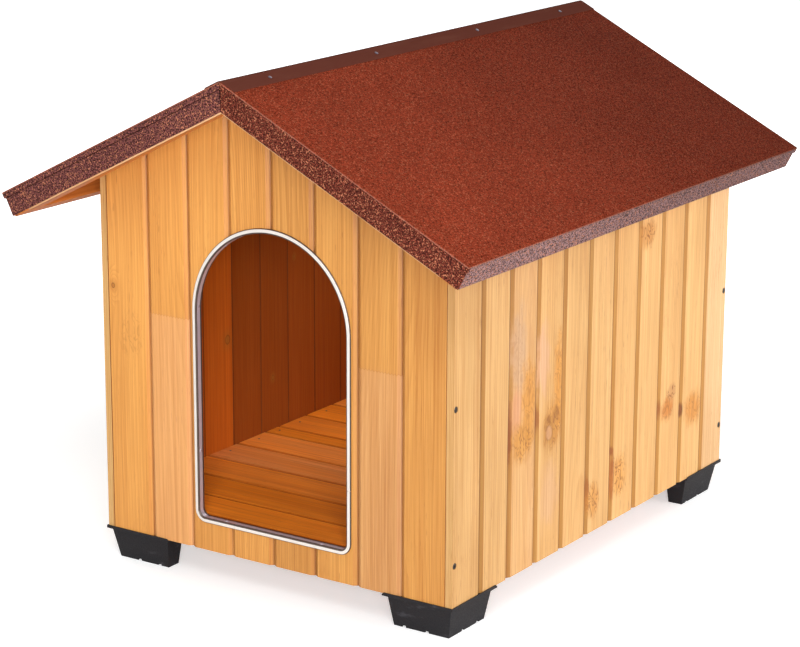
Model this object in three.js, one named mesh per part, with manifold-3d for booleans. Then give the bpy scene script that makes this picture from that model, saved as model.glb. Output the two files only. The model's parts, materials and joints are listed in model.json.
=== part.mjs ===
// Gabled wooden dog house with a felted roof that opens sideways for cleaning.
// Millimetres, +Z up, the doorway faces -Y, origin under the middle of the roof on the ground.
import * as THREE from 'three';
import { mergeVertices } from 'three/addons/utils/BufferGeometryUtils.js';
import Module from 'manifold-3d';

const wasm = await Module();
wasm.setup();

// ---- driving dimensions -------------------------------------------------------------
const GAP = 0.3;                      // clearance between pieces that touch

const BOARD = {                       // matchboard of the walls
  cover: 55,                          // face width of one board
  thickness: 9,
  chamferWidth: 4.8,                  // half of the V-groove along the face
  chamferDepth: 3.0,
  tongueFrom: 4.2,                    // tongue, measured from the outer face
  tongueTo: 6.8,
  tongueLength: 5,
};
const FRONT_BOARDS = 8;
const SIDE_BOARDS = 11;

const WALL_WIDTH = FRONT_BOARDS * BOARD.cover + 2 * BOARD.thickness;
const WALL_LENGTH = 602;              // outer length, front face to rear face
const FOOT_HEIGHT = 36.5;             // the wall boards start here
const EAVE_LINE = 389.6;              // roof edge's lower line over the wall's lower edge
const SLOPE = THREE.MathUtils.degToRad(26.72);

const ROOF = {
  batten: { width: 22, depth: 22.4 }, // edge battens under the deck
  deck: 5,
  felt: 1.5,
  lip: 1.4,                           // the deck's covered edge stands out past the band
  bareEdge: 1.5,                      // wood left uncovered under the band
  eaveRun: 317.6,                     // along the slope, ridge line to the lip at the eave
  frontOverhang: 82,
  rearOverhang: 38,
};
const CAP = { width: 21.5, sheet: 0.8, inset: 0.6, bend: 6.4 };      // bend: outer radius over the ridge

const DOOR = { radius: 103.4, springLine: 268.5, sill: 32, corner: 14 };
const EDGING = { flange: 5.8, web: 7.6, sheet: 1.2, crown: 0.7, jointHeight: 104.6, jointGap: 0.4 };

const FLOOR = {
  top: 39.2, thickness: 9.4, boardCover: 56, firstBoard: 50, narrowBoard: 27, narrowIndex: 5,
  grooveWidth: 2.7, grooveDepth: 2,   // half of the V-groove, as on the walls
};
const BEARER = { width: 20, bottom: 0.3 };
const POST = 20;                      // square corner post

const FOOT = {                        // distances from the house's corner, outer faces
  top: { outer: 2.7, inner: 30, end: 82 },
  low: { outer: 9.2, inner: 27, end: 77.8 },
  wall: 2.2, rib: 1.6, ribsAt: [45, 63], boss: { at: 18.4, radius: 5, bore: 1.8 },
  plate: 1.7, lip: { reach: 86.5, out: 1.2, up: 1.8, slant: 2.4 },
  notch: { width: 4.6, height: 2.2, at: [36.5, 65] },
};

const HINGE = {
  offset: 4, height: 402,             // axis: outside the left wall, above the wall's lower edge
  length: 480, knuckles: 8, radius: 3, pin: 1.3, bore: 1.7, leaf: 1.5, leafDepth: 28, strapRun: 24,
};
const STAY = {
  reach: 115,                         // hinge axis to the pivot, and hinge axis to the stud
  closedAngle: THREE.MathUtils.degToRad(62),
  openAngle: THREE.MathUtils.degToRad(42),
  width: 15, sheet: 1.8, pin: 3, bore: 3.4, stud: 3, slotClearance: 0.6, end: 9,
};
const RAFTER = { width: 18, depth: 18, from: 66 };

const COLOUR = {
  pineFront: 0xe1a55f, pineSide: 0xf2c48a, pineDeep: 0xa5561c, felt: 0x8a4033, capMetal: 0x5f3420,
  aluminium: 0xd9d6d8, blackPlastic: 0x37363a, zinc: 0xb4b4b0,
};

// ---- derived places -----------------------------------------------------------------
const ROOF_LENGTH = ROOF.frontOverhang + WALL_LENGTH + ROOF.rearOverhang;
const HALF_WIDTH = WALL_WIDTH / 2;
const HALF_ROOF = ROOF_LENGTH / 2;
const FRONT_Y = -HALF_ROOF + ROOF.frontOverhang;      // outer face of the front wall
const REAR_Y = FRONT_Y + WALL_LENGTH;
const RISE = Math.tan(SLOPE);
const BAND_APEX = FOOT_HEIGHT + EAVE_LINE + HALF_WIDTH * RISE;   // lower line of the roof edge at the ridge
const DECK_FROM = ROOF.batten.depth + GAP;            // heights over the edge's lower plane
const DECK_TO = DECK_FROM + ROOF.deck;
const FELT_FROM = DECK_TO + 0.2;
const FELT_TO = FELT_FROM + ROOF.felt;
const WALL_TOP_CLEAR = 0.5;                           // the deck rests this far over the walls' tops

const high = (z) => FOOT_HEIGHT + z;                  // heights are measured from the boards' lower edge

// ---- helpers ------------------------------------------------------------------------
const house = new THREE.Group();

/** Turns a closed geometry into a solid for cutting and joining. */
function solid(geometry) {
  const bare = geometry.clone();
  for (const name of Object.keys(bare.attributes)) {
    if (name !== 'position') bare.deleteAttribute(name);
  }
  const merged = mergeVertices(bare, 1e-4);
  return new wasm.Manifold(new wasm.Mesh({
    numProp: 3,
    vertProperties: new Float32Array(merged.attributes.position.array),
    triVerts: new Uint32Array(merged.index.array),
  }));
}

/** Turns a solid back into a geometry. */
function geometryOf(body) {
  const mesh = body.getMesh();
  const geometry = new THREE.BufferGeometry();
  geometry.setAttribute('position', new THREE.BufferAttribute(mesh.vertProperties.slice(), 3));
  geometry.setIndex(new THREE.BufferAttribute(mesh.triVerts.slice(), 1));
  geometry.computeVertexNormals();
  return geometry;
}

/** Joins several geometries into one closed body. */
function join(...geometries) {
  return geometryOf(geometries.map(solid).reduce((all, one) => all.add(one)));
}

/** Cuts the tool geometries out of a body. */
function cut(geometry, ...tools) {
  return geometryOf(tools.map(solid).reduce((body, tool) => body.subtract(tool), solid(geometry)));
}

/** Extrudes an outline of [a, b] points; the basis says where a, b and the depth point. */
function prism(points, depth, basis, start) {
  const shape = new THREE.Shape(points.map(([a, b]) => new THREE.Vector2(a, b)));
  const geometry = new THREE.ExtrudeGeometry(shape, { depth, bevelEnabled: false });
  geometry.applyMatrix4(new THREE.Matrix4().makeBasis(...basis));
  return geometry.translate(...start);
}
const X = new THREE.Vector3(1, 0, 0);
const Y = new THREE.Vector3(0, 1, 0);
const Z = new THREE.Vector3(0, 0, 1);

/** Outline in plan (x, y), standing from z0 to z1. */
const upright = (points, z0, z1) => prism(points, z1 - z0, [X, Y, Z], [0, 0, z0]);
/** Outline seen from the front (x, z), running from y0 to y1. */
const alongY = (points, y0, y1) => prism(points, y1 - y0, [X, Z, Y.clone().negate()], [0, y1, 0]);
/** Outline seen from the side (y, z), running from x0 to x1. */
const alongX = (points, x0, x1) => prism(points, x1 - x0, [Y, Z, X], [x0, 0, 0]);

/** Box between two corners. */
function box(x0, y0, z0, x1, y1, z1) {
  const geometry = new THREE.BoxGeometry(x1 - x0, y1 - y0, z1 - z0);
  return geometry.translate((x0 + x1) / 2, (y0 + y1) / 2, (z0 + z1) / 2);
}

/** Points of an arc about (cx, cy), both ends included. */
function arc(cx, cy, radius, from, to, steps) {
  return Array.from({ length: steps + 1 }, (_, i) => {
    const angle = from + ((to - from) * i) / steps;
    return [cx + radius * Math.cos(angle), cy + radius * Math.sin(angle)];
  });
}

/** Cylinder along Y. */
function rodY(x, z, radius, y0, y1, sides = 20) {
  return alongY(arc(x, z, radius, 0, 2 * Math.PI * (1 - 1 / sides), sides - 1), y0, y1);
}

const material = (color, roughness, metalness = 0) =>
  new THREE.MeshStandardMaterial({ color, roughness, metalness });

/** Adds a named piece to the house. */
function piece(name, geometry, look, parent = house) {
  const mesh = new THREE.Mesh(geometry, look);
  mesh.name = name;
  parent.add(mesh);
  return mesh;
}

const pineFront = material(COLOUR.pineFront, 0.55);
const pineSide = material(COLOUR.pineSide, 0.55);
const pineDeep = material(COLOUR.pineDeep, 0.65);
const feltLook = material(COLOUR.felt, 0.95);
const capLook = material(COLOUR.capMetal, 0.5, 0.4);
const aluminium = material(COLOUR.aluminium, 0.3, 0.9);
const blackPlastic = material(COLOUR.blackPlastic, 0.6);
const zinc = material(COLOUR.zinc, 0.4, 0.9);

// ---- roof slopes --------------------------------------------------------------------
/** Point on a slope: run along it from the ridge line, lift over the edge's lower plane; side +1 or -1. */
function onSlope(side, run, lift) {
  const x = run * Math.cos(SLOPE) + lift * Math.sin(SLOPE);
  const z = BAND_APEX - run * Math.sin(SLOPE) + lift * Math.cos(SLOPE);
  return [side * x, z];
}
/** Run at which a plane of the given lift meets the upright plane |x| = clear. */
const runAt = (x, lift) => (x - lift * Math.sin(SLOPE)) / Math.cos(SLOPE);

/** Layer of a slope between two lifts, from the upright plane |x| = clear at the ridge out to a run. */
function layer(side, liftFrom, liftTo, runTo, clear = GAP / 2) {
  return [
    onSlope(side, runAt(clear, liftFrom), liftFrom),
    onSlope(side, runTo, liftFrom),
    onSlope(side, runTo, liftTo),
    onSlope(side, runAt(clear, liftTo), liftTo),
  ];
}

/** Everything above the deck's underside, for cutting the walls' tops. */
function spaceUnderDeckCutter() {
  const lift = DECK_FROM - WALL_TOP_CLEAR;
  const reach = 420;
  const [xr, zr] = onSlope(1, reach, lift);
  const apex = BAND_APEX + lift / Math.cos(SLOPE);
  const top = apex + 200;
  return alongY([[-xr, zr], [0, apex], [xr, zr], [xr, top], [-xr, top]], -HALF_ROOF, HALF_ROOF);
}
const roofCutter = spaceUnderDeckCutter();
const WALL_STOCK = high(620);                         // boards start longer than the gable

// ---- wall boards --------------------------------------------------------------------
/** Section of one board: u along the wall, v inward from the outer face. */
function boardSection(u0, u1, leftEdge, rightEdge) {
  const b = BOARD;
  const half = GAP / 2;
  const left = leftEdge === 'plain' ? [[u0 + half, b.thickness], [u0 + half, 0]] : [
    [u0 + half, b.thickness],
    [u0 + half, b.tongueTo + GAP],
    [u0 + b.tongueLength + 2 * GAP, b.tongueTo + GAP],
    [u0 + b.tongueLength + 2 * GAP, b.tongueFrom - GAP],
    [u0 + half, b.tongueFrom - GAP],
    [u0 + half, b.chamferDepth],
    [u0 + b.chamferWidth, 0],
  ];
  const right = rightEdge === 'plain' ? [[u1 - half, 0], [u1 - half, b.thickness]] : [
    [u1 - b.chamferWidth, 0],
    [u1 - half, b.chamferDepth],
    [u1 - half, b.tongueFrom],
    [u1 + b.tongueLength, b.tongueFrom],
    [u1 + b.tongueLength, b.tongueTo],
    [u1 - half, b.tongueTo],
    [u1 - half, b.thickness],
  ];
  return [...left, ...right];
}

/** One upright board, cut to the roof line. */
function wallBoard(section, place, ...cutters) {
  const blank = upright(section.map(([u, v]) => place(u, v)), FOOT_HEIGHT, WALL_STOCK);
  return cut(blank, roofCutter, ...cutters);
}

const edgeKinds = (index, count) => [index === 0 ? 'plain' : 'groove', index === count - 1 ? 'plain' : 'tongue'];

/** Doorway outline (x, z), moved in from the edging's outer rim. */
function doorOutline(inset, archSteps = 32, cornerSteps = 5) {
  const r = DOOR.radius - inset;
  const corner = Math.max(DOOR.corner - inset, 1);
  const sill = high(DOOR.sill) + inset;
  return [
    ...arc(0, high(DOOR.springLine), r, 0, Math.PI, archSteps),
    ...arc(-r + corner, sill + corner, corner, Math.PI, 1.5 * Math.PI, cornerSteps),
    ...arc(r - corner, sill + corner, corner, 1.5 * Math.PI, 2 * Math.PI, cornerSteps),
  ];
}

function buildFrontWall() {
  const doorway = alongY(doorOutline(EDGING.flange - EDGING.sheet - GAP), FRONT_Y - 5, FRONT_Y + 20);
  const place = (u, v) => [u - HALF_WIDTH, FRONT_Y + v];
  const middle = high(DOOR.springLine);
  const above = box(-HALF_WIDTH, FRONT_Y - 5, middle, HALF_WIDTH, FRONT_Y + 20, WALL_STOCK + 10);
  const below = box(-HALF_WIDTH, FRONT_Y - 5, 0, HALF_WIDTH, FRONT_Y + 20, middle);
  for (let i = 0; i < FRONT_BOARDS; i += 1) {
    const from = BOARD.thickness + i * BOARD.cover + (i === 0 ? GAP / 2 : 0);
    const to = BOARD.thickness + (i + 1) * BOARD.cover - (i === FRONT_BOARDS - 1 ? GAP / 2 : 0);
    const section = boardSection(from, to, ...edgeKinds(i, FRONT_BOARDS));
    const name = `front_board_${i + 1}`;
    const crossesDoor = i === 3 || i === 4;
    if (crossesDoor) {
      piece(`${name}_upper`, wallBoard(section, place, doorway, below), pineFront);
      piece(`${name}_lower`, wallBoard(section, place, doorway, above), pineFront);
    } else {
      piece(name, wallBoard(section, place, doorway), pineFront);
    }
  }
}

function buildSideWall(prefix, place, look) {
  for (let i = 0; i < SIDE_BOARDS; i += 1) {
    const u0 = i * BOARD.cover;
    const u1 = i === SIDE_BOARDS - 1 ? WALL_LENGTH : u0 + BOARD.cover;
    const section = boardSection(u0, u1, ...edgeKinds(i, SIDE_BOARDS));
    piece(`${prefix}_board_${i + 1}`, wallBoard(section, place), look);
  }
}

/** The rear panel is glued up from the same boards: grooves outside, fine joints inside. */
function buildRearWall() {
  const b = BOARD;
  const kerf = 0.2;
  const outside = [];
  const inside = [];
  for (let i = 1; i < FRONT_BOARDS; i += 1) {
    const u = b.thickness + i * b.cover;
    outside.push([u - b.chamferWidth, 0], [u - kerf, b.chamferDepth], [u - kerf, b.chamferDepth + 0.8]);
    outside.push([u + kerf, b.chamferDepth + 0.8], [u + kerf, b.chamferDepth], [u + b.chamferWidth, 0]);
    inside.push([u - kerf, b.thickness], [u - kerf, b.thickness - 1]);
    inside.push([u + kerf, b.thickness - 1], [u + kerf, b.thickness]);
  }
  const left = b.thickness + GAP;
  const right = WALL_WIDTH - b.thickness - GAP;
  const section = [[left, 0], ...outside, [right, 0], [right, b.thickness], ...inside.reverse(), [left, b.thickness]];
  const place = (u, v) => [u - HALF_WIDTH, REAR_Y - v];
  piece('rear_wall_panel', wallBoard(section, place), pineFront);
}

function buildCornerPosts() {
  const inner = HALF_WIDTH - BOARD.thickness - GAP;
  const yFront = FRONT_Y + BOARD.thickness + GAP;
  const yRear = REAR_Y - BOARD.thickness - GAP;
  for (const [sideName, side] of [['left', -1], ['right', 1]]) {
    for (const [endName, y0, y1] of [['front', yFront, yFront + POST], ['rear', yRear - POST, yRear]]) {
      const x0 = side > 0 ? inner - POST : -inner;
      const blank = box(x0, y0, high(FLOOR.top + GAP), x0 + POST, y1, WALL_STOCK);
      piece(`corner_post_${endName}_${sideName}`, cut(blank, roofCutter), pineDeep);
    }
  }
}

// ---- floor --------------------------------------------------------------------------
function buildFloor() {
  const y0 = FRONT_Y + BOARD.thickness + GAP;
  const y1 = REAR_Y - BOARD.thickness - GAP;
  const top = high(FLOOR.top);
  const bottom = top - FLOOR.thickness;
  const outline = [[y1, top], [y1, bottom], [y0, bottom], [y0, top]];
  let seam = FRONT_Y + BOARD.thickness + FLOOR.firstBoard;
  const { grooveWidth, grooveDepth } = FLOOR;
  for (let i = 0; seam < y1 - grooveWidth * 2; i += 1) {
    outline.push([seam - grooveWidth, top], [seam, top - grooveDepth], [seam + grooveWidth, top]);
    seam += i === FLOOR.narrowIndex - 1 ? FLOOR.narrowBoard : FLOOR.boardCover;
  }
  const half = HALF_WIDTH - BOARD.thickness - GAP;
  const bearer = (x0) => box(x0, y0, high(BEARER.bottom), x0 + BEARER.width, y1, bottom + 1);
  piece('floor_panel', join(alongX(outline, -half, half), bearer(-half), bearer(half - BEARER.width)), pineDeep);
}

// ---- doorway edging -----------------------------------------------------------------
/** Closed skin through rings of points that all follow the same route, with flat ends. */
function loft(rings) {
  const count = rings[0].length;
  const positions = rings.flat(2);
  const index = [];
  for (let r = 0; r + 1 < rings.length; r += 1) {
    for (let i = 0; i < count; i += 1) {
      const j = (i + 1) % count;
      const [a, b, c, d] = [r * count + i, r * count + j, (r + 1) * count + j, (r + 1) * count + i];
      index.push(a, b, c, a, c, d);
    }
  }
  const geometry = new THREE.BufferGeometry();
  geometry.setAttribute('position', new THREE.Float32BufferAttribute(positions, 3));
  return { geometry, index, count };
}

/** Aluminium angle bent round the doorway: a rolled flange on the wall, a web into the opening. */
function buildEdging() {
  const { flange, web, sheet, crown } = EDGING;
  const face = -(GAP + sheet);
  const roll = 0.9;                                   // the flange's long edges are rounded over ...
  const drop = 0.4;                                   // ... and end this much nearer the wall
  const section = [                                   // [inset from the rim, depth from the wall's face]
    [0, -GAP], [flange - sheet, -GAP], [flange - sheet, web], [flange, web],
    [flange, face + drop], [flange - roll, face - crown * 0.7], [flange / 2, face - crown],
    [roll, face - crown * 0.7], [0, face + drop],
  ];
  const joint = high(EDGING.jointHeight);
  const halfGap = EDGING.jointGap / 2;
  const route = (inset) => [
    [DOOR.radius - inset, joint + halfGap],
    ...doorOutline(inset),
    [DOOR.radius - inset, joint - halfGap],
  ];
  const loops = section.map(([inset]) => route(inset));
  const rings = loops[0].map((_, k) => section.map(([, depth], i) => {
    const [x, z] = loops[i][k];
    return [x, FRONT_Y + depth, z];
  }));
  const { geometry, index, count } = loft(rings);
  const capShape = section.map(([a, b]) => new THREE.Vector2(a, b));
  const last = (rings.length - 1) * count;
  for (const [a, b, c] of THREE.ShapeUtils.triangulateShape(capShape, [])) {
    index.push(a, b, c);
    index.push(last + a, last + c, last + b);
  }
  geometry.setIndex(index);
  geometry.computeVertexNormals();
  piece('door_edging', geometry, aluminium);
}

// ---- feet ---------------------------------------------------------------------------
/** Plan of an angle with two equal arms, its outer corner towards (0, 0). */
const anglePlan = ({ outer, inner, end }) => [
  [outer, outer], [end, outer], [end, inner], [inner, inner], [inner, end], [outer, end],
];

/** Solid between a lower and an upper angle plan. */
function taperedAngle(low, z0, up, z1) {
  const { geometry, index, count } = loft([
    anglePlan(low).map(([x, y]) => [x, y, z0]), anglePlan(up).map(([x, y]) => [x, y, z1]),
  ]);
  const plan = anglePlan(low).map(([x, y]) => new THREE.Vector2(x, y));
  for (const [a, b, c] of THREE.ShapeUtils.triangulateShape(plan, [])) {
    index.push(a, c, b, count + a, count + b, count + c);
  }
  geometry.setIndex(index);
  return geometry;
}

/** Moulded hollow foot for the corner at (0, 0), with the house towards +x and +y. */
function footGeometry() {
  const { low, top: up, wall, rib, ribsAt, boss, plate, lip, notch } = FOOT;
  const top = FOOT_HEIGHT - GAP;
  const plateUnder = top - plate;
  const rim = -(GAP + lip.out);
  const hollow = (plan) => ({ outer: plan.outer + wall, inner: plan.inner - wall, end: plan.end - wall });
  const band = (end) => ({ outer: rim, inner: -GAP, end });
  const circle = (radius) => arc(boss.at, boss.at, radius, 0, 1.9 * Math.PI, 19);

  const shell = solid(taperedAngle(low, 0, up, plateUnder + 0.2))
    .subtract(solid(taperedAngle(hollow(low), -0.5, hollow(up), plateUnder - 1)));
  const ribs = ribsAt.flatMap((at) => [
    box(at - rib / 2, low.outer + 1, 0, at + rib / 2, low.inner - 1, plateUnder),
    box(low.outer + 1, at - rib / 2, 0, low.inner - 1, at + rib / 2, plateUnder),
  ]);
  const additions = [
    upright(anglePlan({ outer: rim, inner: up.inner, end: lip.reach }), plateUnder, top),
    taperedAngle(band(lip.reach), top - 0.5, band(lip.reach - lip.slant), top + lip.up),
    upright(circle(boss.radius), 0, plateUnder),
    ...ribs,
  ];
  const inside = low.outer + wall + 1;
  const cuts = [
    upright(circle(boss.bore), -1, plateUnder - 1),
    ...notch.at.flatMap((at) => {
      const [a, b] = [at - notch.width / 2, at + notch.width / 2];
      return [box(a, -1, -1, b, inside, notch.height), box(-1, a, -1, inside, b, notch.height)];
    }),
  ];
  const whole = additions.map(solid).reduce((all, one) => all.add(one), shell);
  return geometryOf(cuts.map(solid).reduce((all, one) => all.subtract(one), whole));
}

/** Mirrors a geometry in x, y or both and keeps its faces pointing out. */
function mirrored(geometry, sx, sy) {
  const copy = geometry.clone().scale(sx, sy, 1);
  if (sx * sy < 0) {
    const array = copy.index.array;
    for (let i = 0; i < array.length; i += 3) [array[i], array[i + 1]] = [array[i + 1], array[i]];
  }
  copy.computeVertexNormals();
  return copy;
}

function buildFeet() {
  const foot = footGeometry();
  for (const [endName, sy, y] of [['front', 1, FRONT_Y], ['rear', -1, REAR_Y]]) {
    for (const [sideName, sx] of [['left', 1], ['right', -1]]) {
      const mesh = piece(`foot_${endName}_${sideName}`, mirrored(foot, sx, sy), blackPlastic);
      mesh.position.set(-sx * HALF_WIDTH, y, 0);
    }
  }
}

// ---- roof ---------------------------------------------------------------------------
const BATTEN_RUN = ROOF.eaveRun - ROOF.lip - ROOF.felt - 0.2;        // outer face of the eave batten
const DECK_RUN = ROOF.eaveRun - ROOF.felt - 0.2;
const BATTEN_END = HALF_ROOF - ROOF.lip - ROOF.felt - 0.2;
const DECK_END = HALF_ROOF - ROOF.felt - 0.2;

const CAP_FROM = FELT_TO + 0.2;                       // lifts of the ridge cap's two faces
const CAP_TO = CAP_FROM + CAP.sheet;
const CAP_RUN = runAt(0, CAP_TO) + CAP.width;
const CAP_BEND_Z = onSlope(1, runAt(0, CAP_TO), CAP_TO)[1] - CAP.bend / Math.cos(SLOPE);
const CAP_INNER_TOP = CAP_BEND_Z + CAP.bend - CAP.sheet;

function buildRoofSlope(sideName, side) {
  const { width, depth } = ROOF.batten;
  piece(`roof_deck_${sideName}`, alongY(layer(side, DECK_FROM, DECK_TO, DECK_RUN), -DECK_END, DECK_END), pineDeep);
  const eave = [
    onSlope(side, BATTEN_RUN - width, 0), onSlope(side, BATTEN_RUN, 0),
    onSlope(side, BATTEN_RUN, depth), onSlope(side, BATTEN_RUN - width, depth),
  ];
  piece(`eave_batten_${sideName}`, alongY(eave, -BATTEN_END, BATTEN_END), pineDeep);
  const verge = layer(side, 0, depth, BATTEN_RUN - width - GAP);
  piece(`verge_batten_front_${sideName}`, alongY(verge, -BATTEN_END, -BATTEN_END + width), pineDeep);
  piece(`verge_batten_rear_${sideName}`, alongY(verge, BATTEN_END - width, BATTEN_END), pineDeep);
}

/** One sheet of felt: over the deck, down its edges as a lip, then down the battens as a band. */
function buildFelt(sideName, side) {
  const bandRun = BATTEN_RUN + 0.2 + ROOF.felt;
  const bandEnd = BATTEN_END + 0.2 + ROOF.felt;
  const pressed = CAP_INNER_TOP - GAP;                // the felt's ridge is pressed flat under the cap's bend
  const lipOutline = layer(side, DECK_FROM - 0.5, FELT_TO, ROOF.eaveRun).slice(0, 3);
  const pressedX = (BAND_APEX + FELT_TO / Math.cos(SLOPE) - pressed) / RISE;
  const lip = alongY([...lipOutline, [side * pressedX, pressed], [side * GAP / 2, pressed]], -HALF_ROOF, HALF_ROOF);
  const band = alongY(layer(side, ROOF.bareEdge, DECK_TO, bandRun), -bandEnd, bandEnd);
  const overDeck = alongY(layer(side, -5, FELT_FROM, DECK_RUN + 0.2, -5), -DECK_END - 0.2, DECK_END + 0.2);
  const battens = alongY(layer(side, -5, DECK_FROM, BATTEN_RUN + 0.2, -5), -BATTEN_END - 0.2, BATTEN_END + 0.2);
  const deckSpace = solid(overDeck).intersect(
    solid(alongY(layer(side, DECK_FROM - 0.2, FELT_FROM, DECK_RUN + 0.2, -5), -HALF_ROOF, HALF_ROOF)));
  const sheet = solid(lip).add(solid(band)).subtract(solid(battens)).subtract(deckSpace);
  piece(`roof_felt_${sideName}`, geometryOf(sheet), feltLook);
}

/** Ridge cap over both slopes, bent round the ridge. */
function buildRidgeCap() {
  const bendAt = (radius) => arc(0, CAP_BEND_Z, radius, Math.PI / 2 - SLOPE, Math.PI / 2 + SLOPE, 6);
  const edge = (side) => [
    onSlope(side, CAP_RUN, CAP_FROM), onSlope(side, CAP_RUN, CAP_TO),
  ];
  const outline = [
    ...edge(1), ...bendAt(CAP.bend), ...edge(-1).reverse(), ...bendAt(CAP.bend - CAP.sheet).reverse(),
  ];
  piece('ridge_cap', alongY(outline, -HALF_ROOF + CAP.inset, HALF_ROOF - CAP.inset), capLook);
}

// ---- roof hinge ---------------------------------------------------------------------
const HINGE_X = -HALF_WIDTH - HINGE.offset;
const HINGE_Z = high(HINGE.height);
const HINGE_MIDDLE = (FRONT_Y + REAR_Y) / 2;

/** Ranges along Y of every other knuckle. */
function knuckleRanges(first) {
  const pitch = HINGE.length / HINGE.knuckles;
  const start = HINGE_MIDDLE - HINGE.length / 2;
  return Array.from({ length: HINGE.knuckles }, (_, i) => i)
    .filter((i) => i % 2 === first)
    .map((i) => [start + i * pitch + GAP / 2, start + (i + 1) * pitch - GAP / 2]);
}

function buildHinge() {
  const y0 = HINGE_MIDDLE - HINGE.length / 2;
  const y1 = HINGE_MIDDLE + HINGE.length / 2;
  const wallFace = -HALF_WIDTH - GAP;
  const clear = HINGE.radius + 0.6;
  const leafTop = HINGE_Z - clear;
  const wallParts = [
    box(wallFace - HINGE.leaf, y0, leafTop - HINGE.leafDepth, wallFace, y1, leafTop),
    rodY(HINGE_X, HINGE_Z, HINGE.pin, y0 + 1, y1 - 0.5, 12),
    ...knuckleRanges(0).flatMap(([a, b]) => [
      rodY(HINGE_X, HINGE_Z, HINGE.radius, a, b, 16),
      box(wallFace - HINGE.leaf, a, leafTop - 1, wallFace, b, HINGE_Z),
    ]),
  ];
  piece('hinge_leaf_wall', join(...wallParts), zinc);

  const strapX = HINGE_X - HINGE.radius;
  const underDeck = DECK_FROM - GAP;
  const strapTop = BAND_APEX + (underDeck / Math.cos(SLOPE)) + strapX * RISE;
  const run0 = runAt(-strapX, underDeck);
  const leafBand = [
    onSlope(-1, run0, underDeck), onSlope(-1, run0 + HINGE.strapRun, underDeck),
    onSlope(-1, run0 + HINGE.strapRun, underDeck - HINGE.leaf), onSlope(-1, run0, underDeck - HINGE.leaf),
  ];
  const roofParts = [
    box(strapX, y0, HINGE_Z + clear, strapX + HINGE.leaf, y1, strapTop - 0.1),
    alongY(leafBand, y0, y1),
    ...knuckleRanges(1).flatMap(([a, b]) => [
      rodY(HINGE_X, HINGE_Z, HINGE.radius, a, b, 16),
      box(strapX, a, HINGE_Z, strapX + HINGE.leaf, b, HINGE_Z + clear + 1),
    ]),
  ];
  const bore = rodY(HINGE_X, HINGE_Z, HINGE.bore, y0 - 1, y1 + 1, 16);
  piece('hinge_leaf_roof', cut(join(...roofParts), bore), zinc);
}

// ---- roof stay ----------------------------------------------------------------------
const PIVOT = [
  HINGE_X + STAY.reach * Math.cos(SLOPE),
  HINGE_Z + STAY.reach * Math.sin(SLOPE),
];
const STUD = [
  HINGE_X + STAY.reach * Math.cos(SLOPE - STAY.closedAngle),
  HINGE_Z + STAY.reach * Math.sin(SLOPE - STAY.closedAngle),
];
const STAY_Y = FRONT_Y + BOARD.thickness + 2.6;       // front face of the stay arm
const RAFTER_Y = STAY_Y + STAY.sheet + 1.6;

/** Rafter piece under the left slope that carries the stay's pivot. */
function buildRafter() {
  const top = DECK_FROM - GAP;
  const outline = [
    onSlope(-1, runAt(HALF_WIDTH - RAFTER.from, top), top),
    onSlope(-1, runAt(HALF_WIDTH - RAFTER.from, top), top - RAFTER.depth),
    onSlope(-1, runAt(4, top - RAFTER.depth), top - RAFTER.depth),
    onSlope(-1, runAt(4, top), top),
  ];
  const bore = rodY(...PIVOT, STAY.bore, RAFTER_Y - 5, RAFTER_Y + RAFTER.width + 5);
  piece('stay_rafter', cut(alongY(outline, RAFTER_Y, RAFTER_Y + RAFTER.width), bore), pineDeep);
}

/** Slotted arm: pivots on the rafter, slides on the stud of the front wall. */
function buildStay() {
  const chord = (angle) => 2 * STAY.reach * Math.sin(angle / 2);
  const nearest = chord(STAY.closedAngle);
  const farthest = chord(STAY.closedAngle + STAY.openAngle);
  const half = STAY.width / 2;
  const tip = farthest + STAY.end;
  const slotHalf = STAY.stud + STAY.slotClearance;
  const slotFrom = nearest - 1;
  const slotTo = farthest + 1;
  const capsule = (a, b, r) => [
    ...arc(b, 0, r, -Math.PI / 2, Math.PI / 2, 8), ...arc(a, 0, r, Math.PI / 2, 1.5 * Math.PI, 8),
  ];
  const along = Math.atan2(STUD[1] - PIVOT[1], STUD[0] - PIVOT[0]);
  const turn = ([a, b]) => [
    PIVOT[0] + a * Math.cos(along) - b * Math.sin(along),
    PIVOT[1] + a * Math.sin(along) + b * Math.cos(along),
  ];
  const bar = alongY(capsule(0, tip - half, half).map(turn), STAY_Y, STAY_Y + STAY.sheet);
  const slot = alongY(capsule(slotFrom, slotTo, slotHalf).map(turn), STAY_Y - 1, STAY_Y + STAY.sheet + 1);
  const pinEnd = RAFTER_Y + RAFTER.width + 0.6;
  const pin = rodY(...PIVOT, STAY.pin, STAY_Y + 0.2, pinEnd + 1);
  const head = rodY(...PIVOT, STAY.pin + 3, pinEnd, pinEnd + 1.6);
  piece('stay_arm', join(cut(bar, slot), pin, head), zinc);

  const foot = FRONT_Y + BOARD.thickness + GAP;
  const shank = rodY(...STUD, STAY.stud, foot, STAY_Y + STAY.sheet + 1);
  const base = rodY(...STUD, STAY.stud + 3.5, foot, foot + 1.4);
  const button = rodY(...STUD, STAY.stud + 2.5, STAY_Y + STAY.sheet + 0.6, STAY_Y + STAY.sheet + 2.2);
  piece('stay_stud', join(shank, base, button), zinc);
}

// ---- assembly -----------------------------------------------------------------------
buildFrontWall();
buildSideWall('left', (u, v) => [-HALF_WIDTH + v, FRONT_Y + u], pineDeep);
buildSideWall('right', (u, v) => [HALF_WIDTH - v, FRONT_Y + u], pineSide);
buildRearWall();
buildCornerPosts();
buildFloor();
buildEdging();
buildFeet();
for (const [name, side] of [['left', -1], ['right', 1]]) {
  buildRoofSlope(name, side);
  buildFelt(name, side);
}
buildRidgeCap();
buildHinge();
buildRafter();
buildStay();

export default house;
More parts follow.
